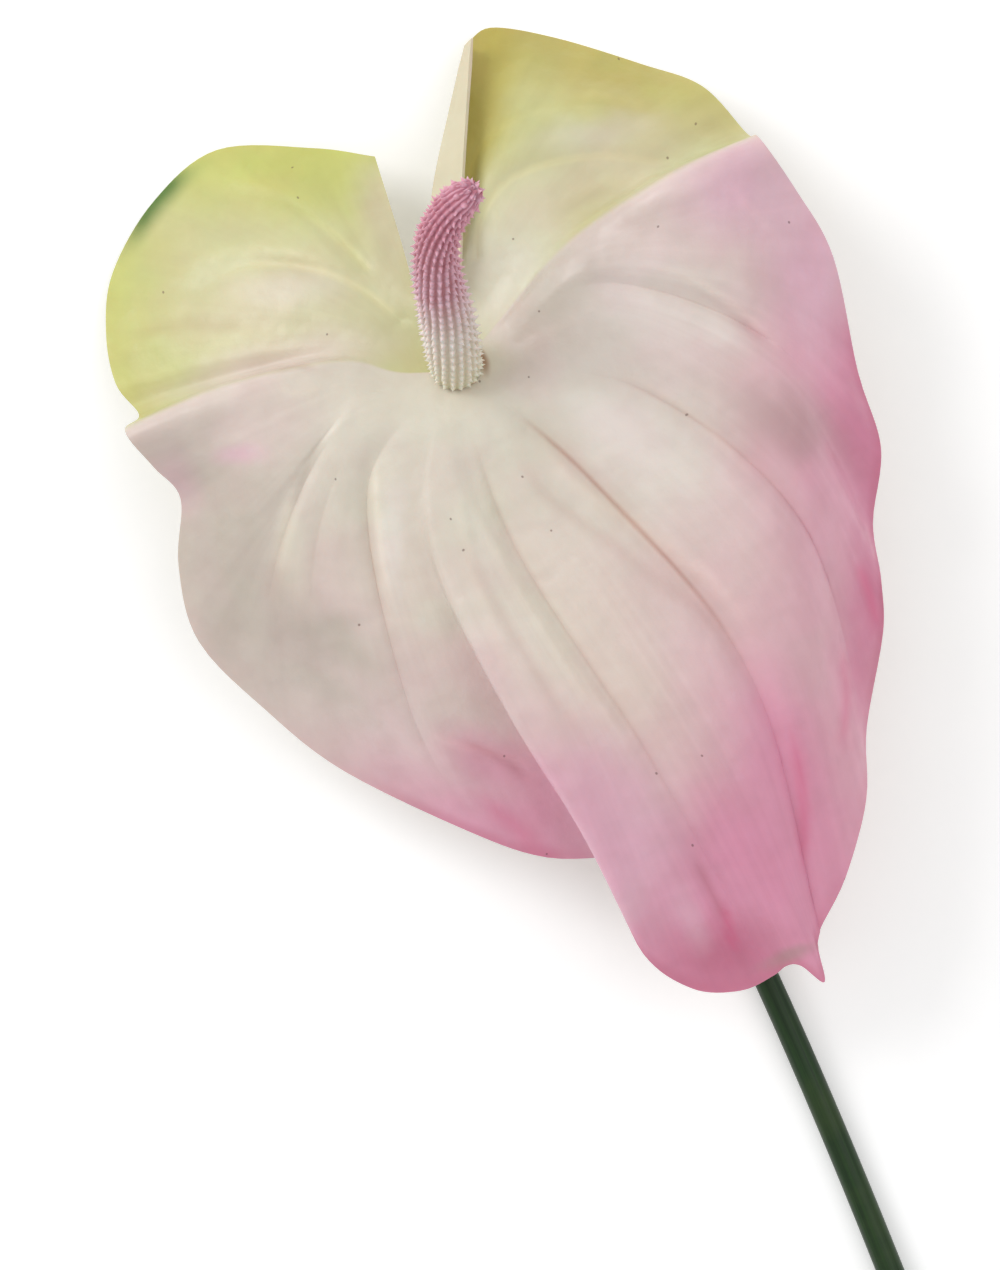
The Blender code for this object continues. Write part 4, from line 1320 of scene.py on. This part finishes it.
    def build(self) -> None:
        """Makes the core and its florets."""
        finish = self.finish.material()
        core = new_piece("spadix_core", *self.core(), sharp_deg=80)
        dressed(core, finish, "spadix")
        spots, numbers = self.places()
        seed = new_piece("floret_places", spots, [], numbers)
        florets = settled("spadix_florets", seed, self.floret_tree(), {"Finish": finish.data}, 50)
        dressed(florets, finish, "spadix")


# The stem


@dataclass(frozen=True)
class GreenSkin:
    """The stem's finish: a smooth deep green skin with fine streaks, and a pale cut."""

    roughness: float = 0.42

    def material(self) -> Material:
        """Builds the stem's material."""
        made = Material("green skin", {
            "Coat Weight": 0.06, "Coat Roughness": 0.3, "Specular IOR Level": 0.3,
            "Subsurface Weight": 0.05, "Subsurface Scale": 0.002, "Subsurface Radius": (0.5, 1.0, 0.3),
        })
        bench = made.bench
        place, around, along = bench.place(), bench.read("around"), bench.read("along")
        streaks = bench.noise(bench.trio(around * 40, along * 12), 1, 3)
        colour = bench.mixed(bench.eased(streaks, 0.3, 0.7), paint(18, 42, 14), paint(30, 58, 22))
        blotch = bench.noise(place, 90, 3)
        colour = bench.mixed(bench.eased(blotch, 0.45, 0.75, 0, 0.3), colour, paint(60, 76, 34))
        end = LAYOUT.placed(np.array(STEM_LINE[-1], float))
        before = LAYOUT.placed(np.array(STEM_LINE[-2], float))
        axis = bench.vector("CROSS_PRODUCT", bench.vector("SUBTRACT", place, tuple(end)),
                            tuple(unit(end - before)))
        from_axis = bench.add("ShaderNodeVectorMath", {"operation": "LENGTH"}, {0: axis}, 1) / MM
        near_end = bench.eased(along, 0.994, 0.998)
        pith = bench.eased(from_axis, 2.35, 2.8, 1, 0) * near_end
        strands = bench.eased(bench.noise(place, 3400, 1), 0.52, 0.66, 0, 0.4)
        flesh = bench.mixed(strands, paint(188, 196, 142), paint(132, 146, 84))
        colour = bench.mixed(pith, colour, flesh)
        made.feed(Base_Color=colour, Roughness=self.roughness + pith * 0.2 + (streaks - 0.5) * 0.1)
        made.bump(streaks * 0.04 + strands * pith * 0.1, 1.0, MM)
        return made


STEM_LINE = (
    (-0.8, -9, -13.5),
    (-0.2, -24, -24.5),
    (2.5, -48, -30.5),
    (5.5, -80, -32.3),
    (7.5, -136, -32.6),
    (6.3, -203, -32.5),
    (-1, -300, -32.3),
    (-14, -415, -32.2),
)


@dataclass
class Stem:
    """The round green stalk, from the face that carries the spadix to its slanting cut. Sizes are in mm."""

    radius: float = 2.6
    base_radius: float = 3.2
    cut_slant: float = 2.2
    neck_straight: float = 4
    seat: float = 0.4
    sides: int = 40
    steps: int = 320
    finish: GreenSkin = GreenSkin()

    def line(self) -> np.ndarray:
        """The stem's middle line, from its top to its cut end."""
        top = NECK_AXIS * self.seat
        return even_line((top, top - NECK_AXIS * self.neck_straight, *STEM_LINE), self.steps)

    def stalk_tree(self) -> bpy.types.NodeTree:
        """Geometry tree that draws a round stalk along the line of its seed mesh."""
        bench, given = new_tree("stalk", (
            ("Line", "Geometry", None), ("Sides", "Int", 40), ("Slant", "Float", 0.7),
            ("Cut height", "Float", None), ("Finish", "Material", None)), "Stalk")
        number = {"data_type": "FLOAT"}
        rail = bench.add("GeometryNodeMeshToCurve", None, {"Mesh": given})
        ring = bench.add("GeometryNodeCurvePrimitiveCircle", None, {
            "Resolution": given.other("Sides"), "Radius": 1.0})
        marked = bench.add("GeometryNodeStoreNamedAttribute", number, {
            "Geometry": ring, "Name": "around", "Value": bench.add("GeometryNodeSplineParameter")})
        stalk = bench.add("GeometryNodeCurveToMesh", None, {
            "Curve": rail, "Profile Curve": marked, "Fill Caps": True,
            "Scale": bench.add("GeometryNodeInputNamedAttribute", number, {"Name": "girth"})})
        spot = bench.add("ShaderNodeSeparateXYZ", None, {0: bench.add("GeometryNodeInputPosition")})
        at_cut = bench.add("GeometryNodeInputNamedAttribute", number, {"Name": "along"}).over(0.9999)
        slid = (spot.other("Z") - given.other("Cut height")) * given.other("Slant") * at_cut
        slanted = bench.add("GeometryNodeSetPosition", None, {
            "Geometry": stalk, "Offset": bench.trio(0.0, slid, 0.0)})
        return end_tree(bench, given, slanted)

    def build(self) -> None:
        """Makes the stalk."""
        finish = self.finish.material()
        line = LAYOUT.placed(self.line())
        share = np.linspace(0, 1, self.steps)
        girth = (self.radius + (self.base_radius - self.radius) * share**2) * MM
        seed = new_piece("stem_line", line, [], {"girth": girth, "along": share})
        seed.data.edges.add(self.steps - 1)
        seed.data.edges.foreach_set("vertices", np.stack(
            (np.arange(self.steps - 1), np.arange(1, self.steps)), axis=1).ravel())
        stalk = settled("stem_stalk", seed, self.stalk_tree(), {
            "Sides": self.sides, "Slant": self.cut_slant / self.base_radius,
            "Cut height": float(line[-1, 2]), "Finish": finish.data}, 40)
        dressed(stalk, finish, "stem")


# Floor, light and camera


@dataclass
class Studio:
    """A pale floor, soft light from the upper left, and the camera straight above the flower.

    Sizes and spots are in metres, but the sensor is in mm. A spot is right of, up from and above the middle
    of the picture.
    """

    floor_half: float = 6.0
    floor_glow: float = 0.2
    camera_height: float = 2.2
    sensor: float = 36
    key_spot: Point = (-1.1, 0.7, 0.9)
    key_size: float = 0.8
    key_power: float = 11
    fill_spot: Point = (0.8, 0.3, 1.5)
    fill_size: float = 1.6
    fill_power: float = 6
    sky: float = 0.62

    def beside(self, spot: Point) -> Vector:
        """A spot round the middle of the picture, as a place in the frame."""
        right, up, above = spot
        middle = LAYOUT.seen_at(*LAYOUT.picture_middle)
        return middle + LAYOUT.right() * right + LAYOUT.up() * up + Vector((0, 0, above))

    def floor(self) -> None:
        """A wide pale floor that touches the object's lowest point."""
        half = self.floor_half
        corners = np.array(((-half, -half, 0), (half, -half, 0), (half, half, 0), (-half, half, 0)), float)
        piece = new_piece("floor", corners, [(0, 1, 2, 3)], {})
        made = Material("pale floor", {
            "Roughness": 0.9, "Specular IOR Level": 0.2, "Emission Color": (1, 1, 1, 1),
            "Emission Strength": self.floor_glow})
        bench = made.bench
        mottle = bench.noise(bench.place(), 60, 2)
        made.feed(Base_Color=bench.mixed(mottle, paint(250, 250, 250), paint(253, 253, 253)))
        made.bump(bench.noise(bench.place(), 700, 2), 0.02, 0.0003)
        piece.data.materials.append(made.data)

    def lamp(self, name: str, spot: Vector, size: float, power: float) -> None:
        """A square soft lamp that looks at the flower.

        Args:
            name: the lamp's name.
            spot: where it stands.
            size: how wide it is, in metres.
            power: how strong it is, in watts.
        """
        light = bpy.data.lights.new(name, "AREA")
        light.size, light.energy = size, power
        lamp = bpy.data.objects.new(name, light)
        bpy.context.scene.collection.objects.link(lamp)
        lamp.location = spot
        lamp.rotation_euler = (self.beside((0, 0, 0)) - spot).to_track_quat("-Z", "Y").to_euler()
        lamp.visible_camera = False

    def lights(self) -> None:
        """The key lamp from the upper left, a wide fill from the right, and the sky."""
        self.lamp("key", self.beside(self.key_spot), self.key_size, self.key_power)
        self.lamp("fill", self.beside(self.fill_spot), self.fill_size, self.fill_power)
        world = bpy.data.worlds.new("sky")
        world.use_nodes = True
        ground = world.node_tree.nodes["Background"]
        ground.inputs[0].default_value = (1, 1, 1, 1)
        ground.inputs[1].default_value = self.sky
        bpy.context.scene.world = world

    def camera(self) -> None:
        """The camera, straight above the middle of the picture."""
        data = bpy.data.cameras.new("above")
        data.sensor_width = self.sensor
        data.lens = self.sensor * self.camera_height / (LAYOUT.picture_size[1] * LAYOUT.picture_point)
        data.clip_end = 50
        camera = bpy.data.objects.new("above", data)
        bpy.context.scene.collection.objects.link(camera)
        spot = self.beside((0, 0, self.camera_height))
        right, up = LAYOUT.right(), LAYOUT.up()
        camera.matrix_world = Matrix((
            (right.x, up.x, 0, spot.x), (right.y, up.y, 0, spot.y), (0, 0, 1, spot.z), (0, 0, 0, 1)))
        bpy.context.scene.camera = camera
        bpy.context.scene.view_settings.view_transform = "Standard"


def main() -> None:
    """Builds the flower's pieces over the frame, then the floor, the light and the camera."""
    logging.basicConfig(level=logging.INFO, format="%(name)s: %(message)s")
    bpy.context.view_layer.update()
    Spathe().build()
    Spadix().build()
    Stem().build()
    studio = Studio()
    studio.floor()
    studio.lights()
    studio.camera()


if __name__ == "__main__":
    main()
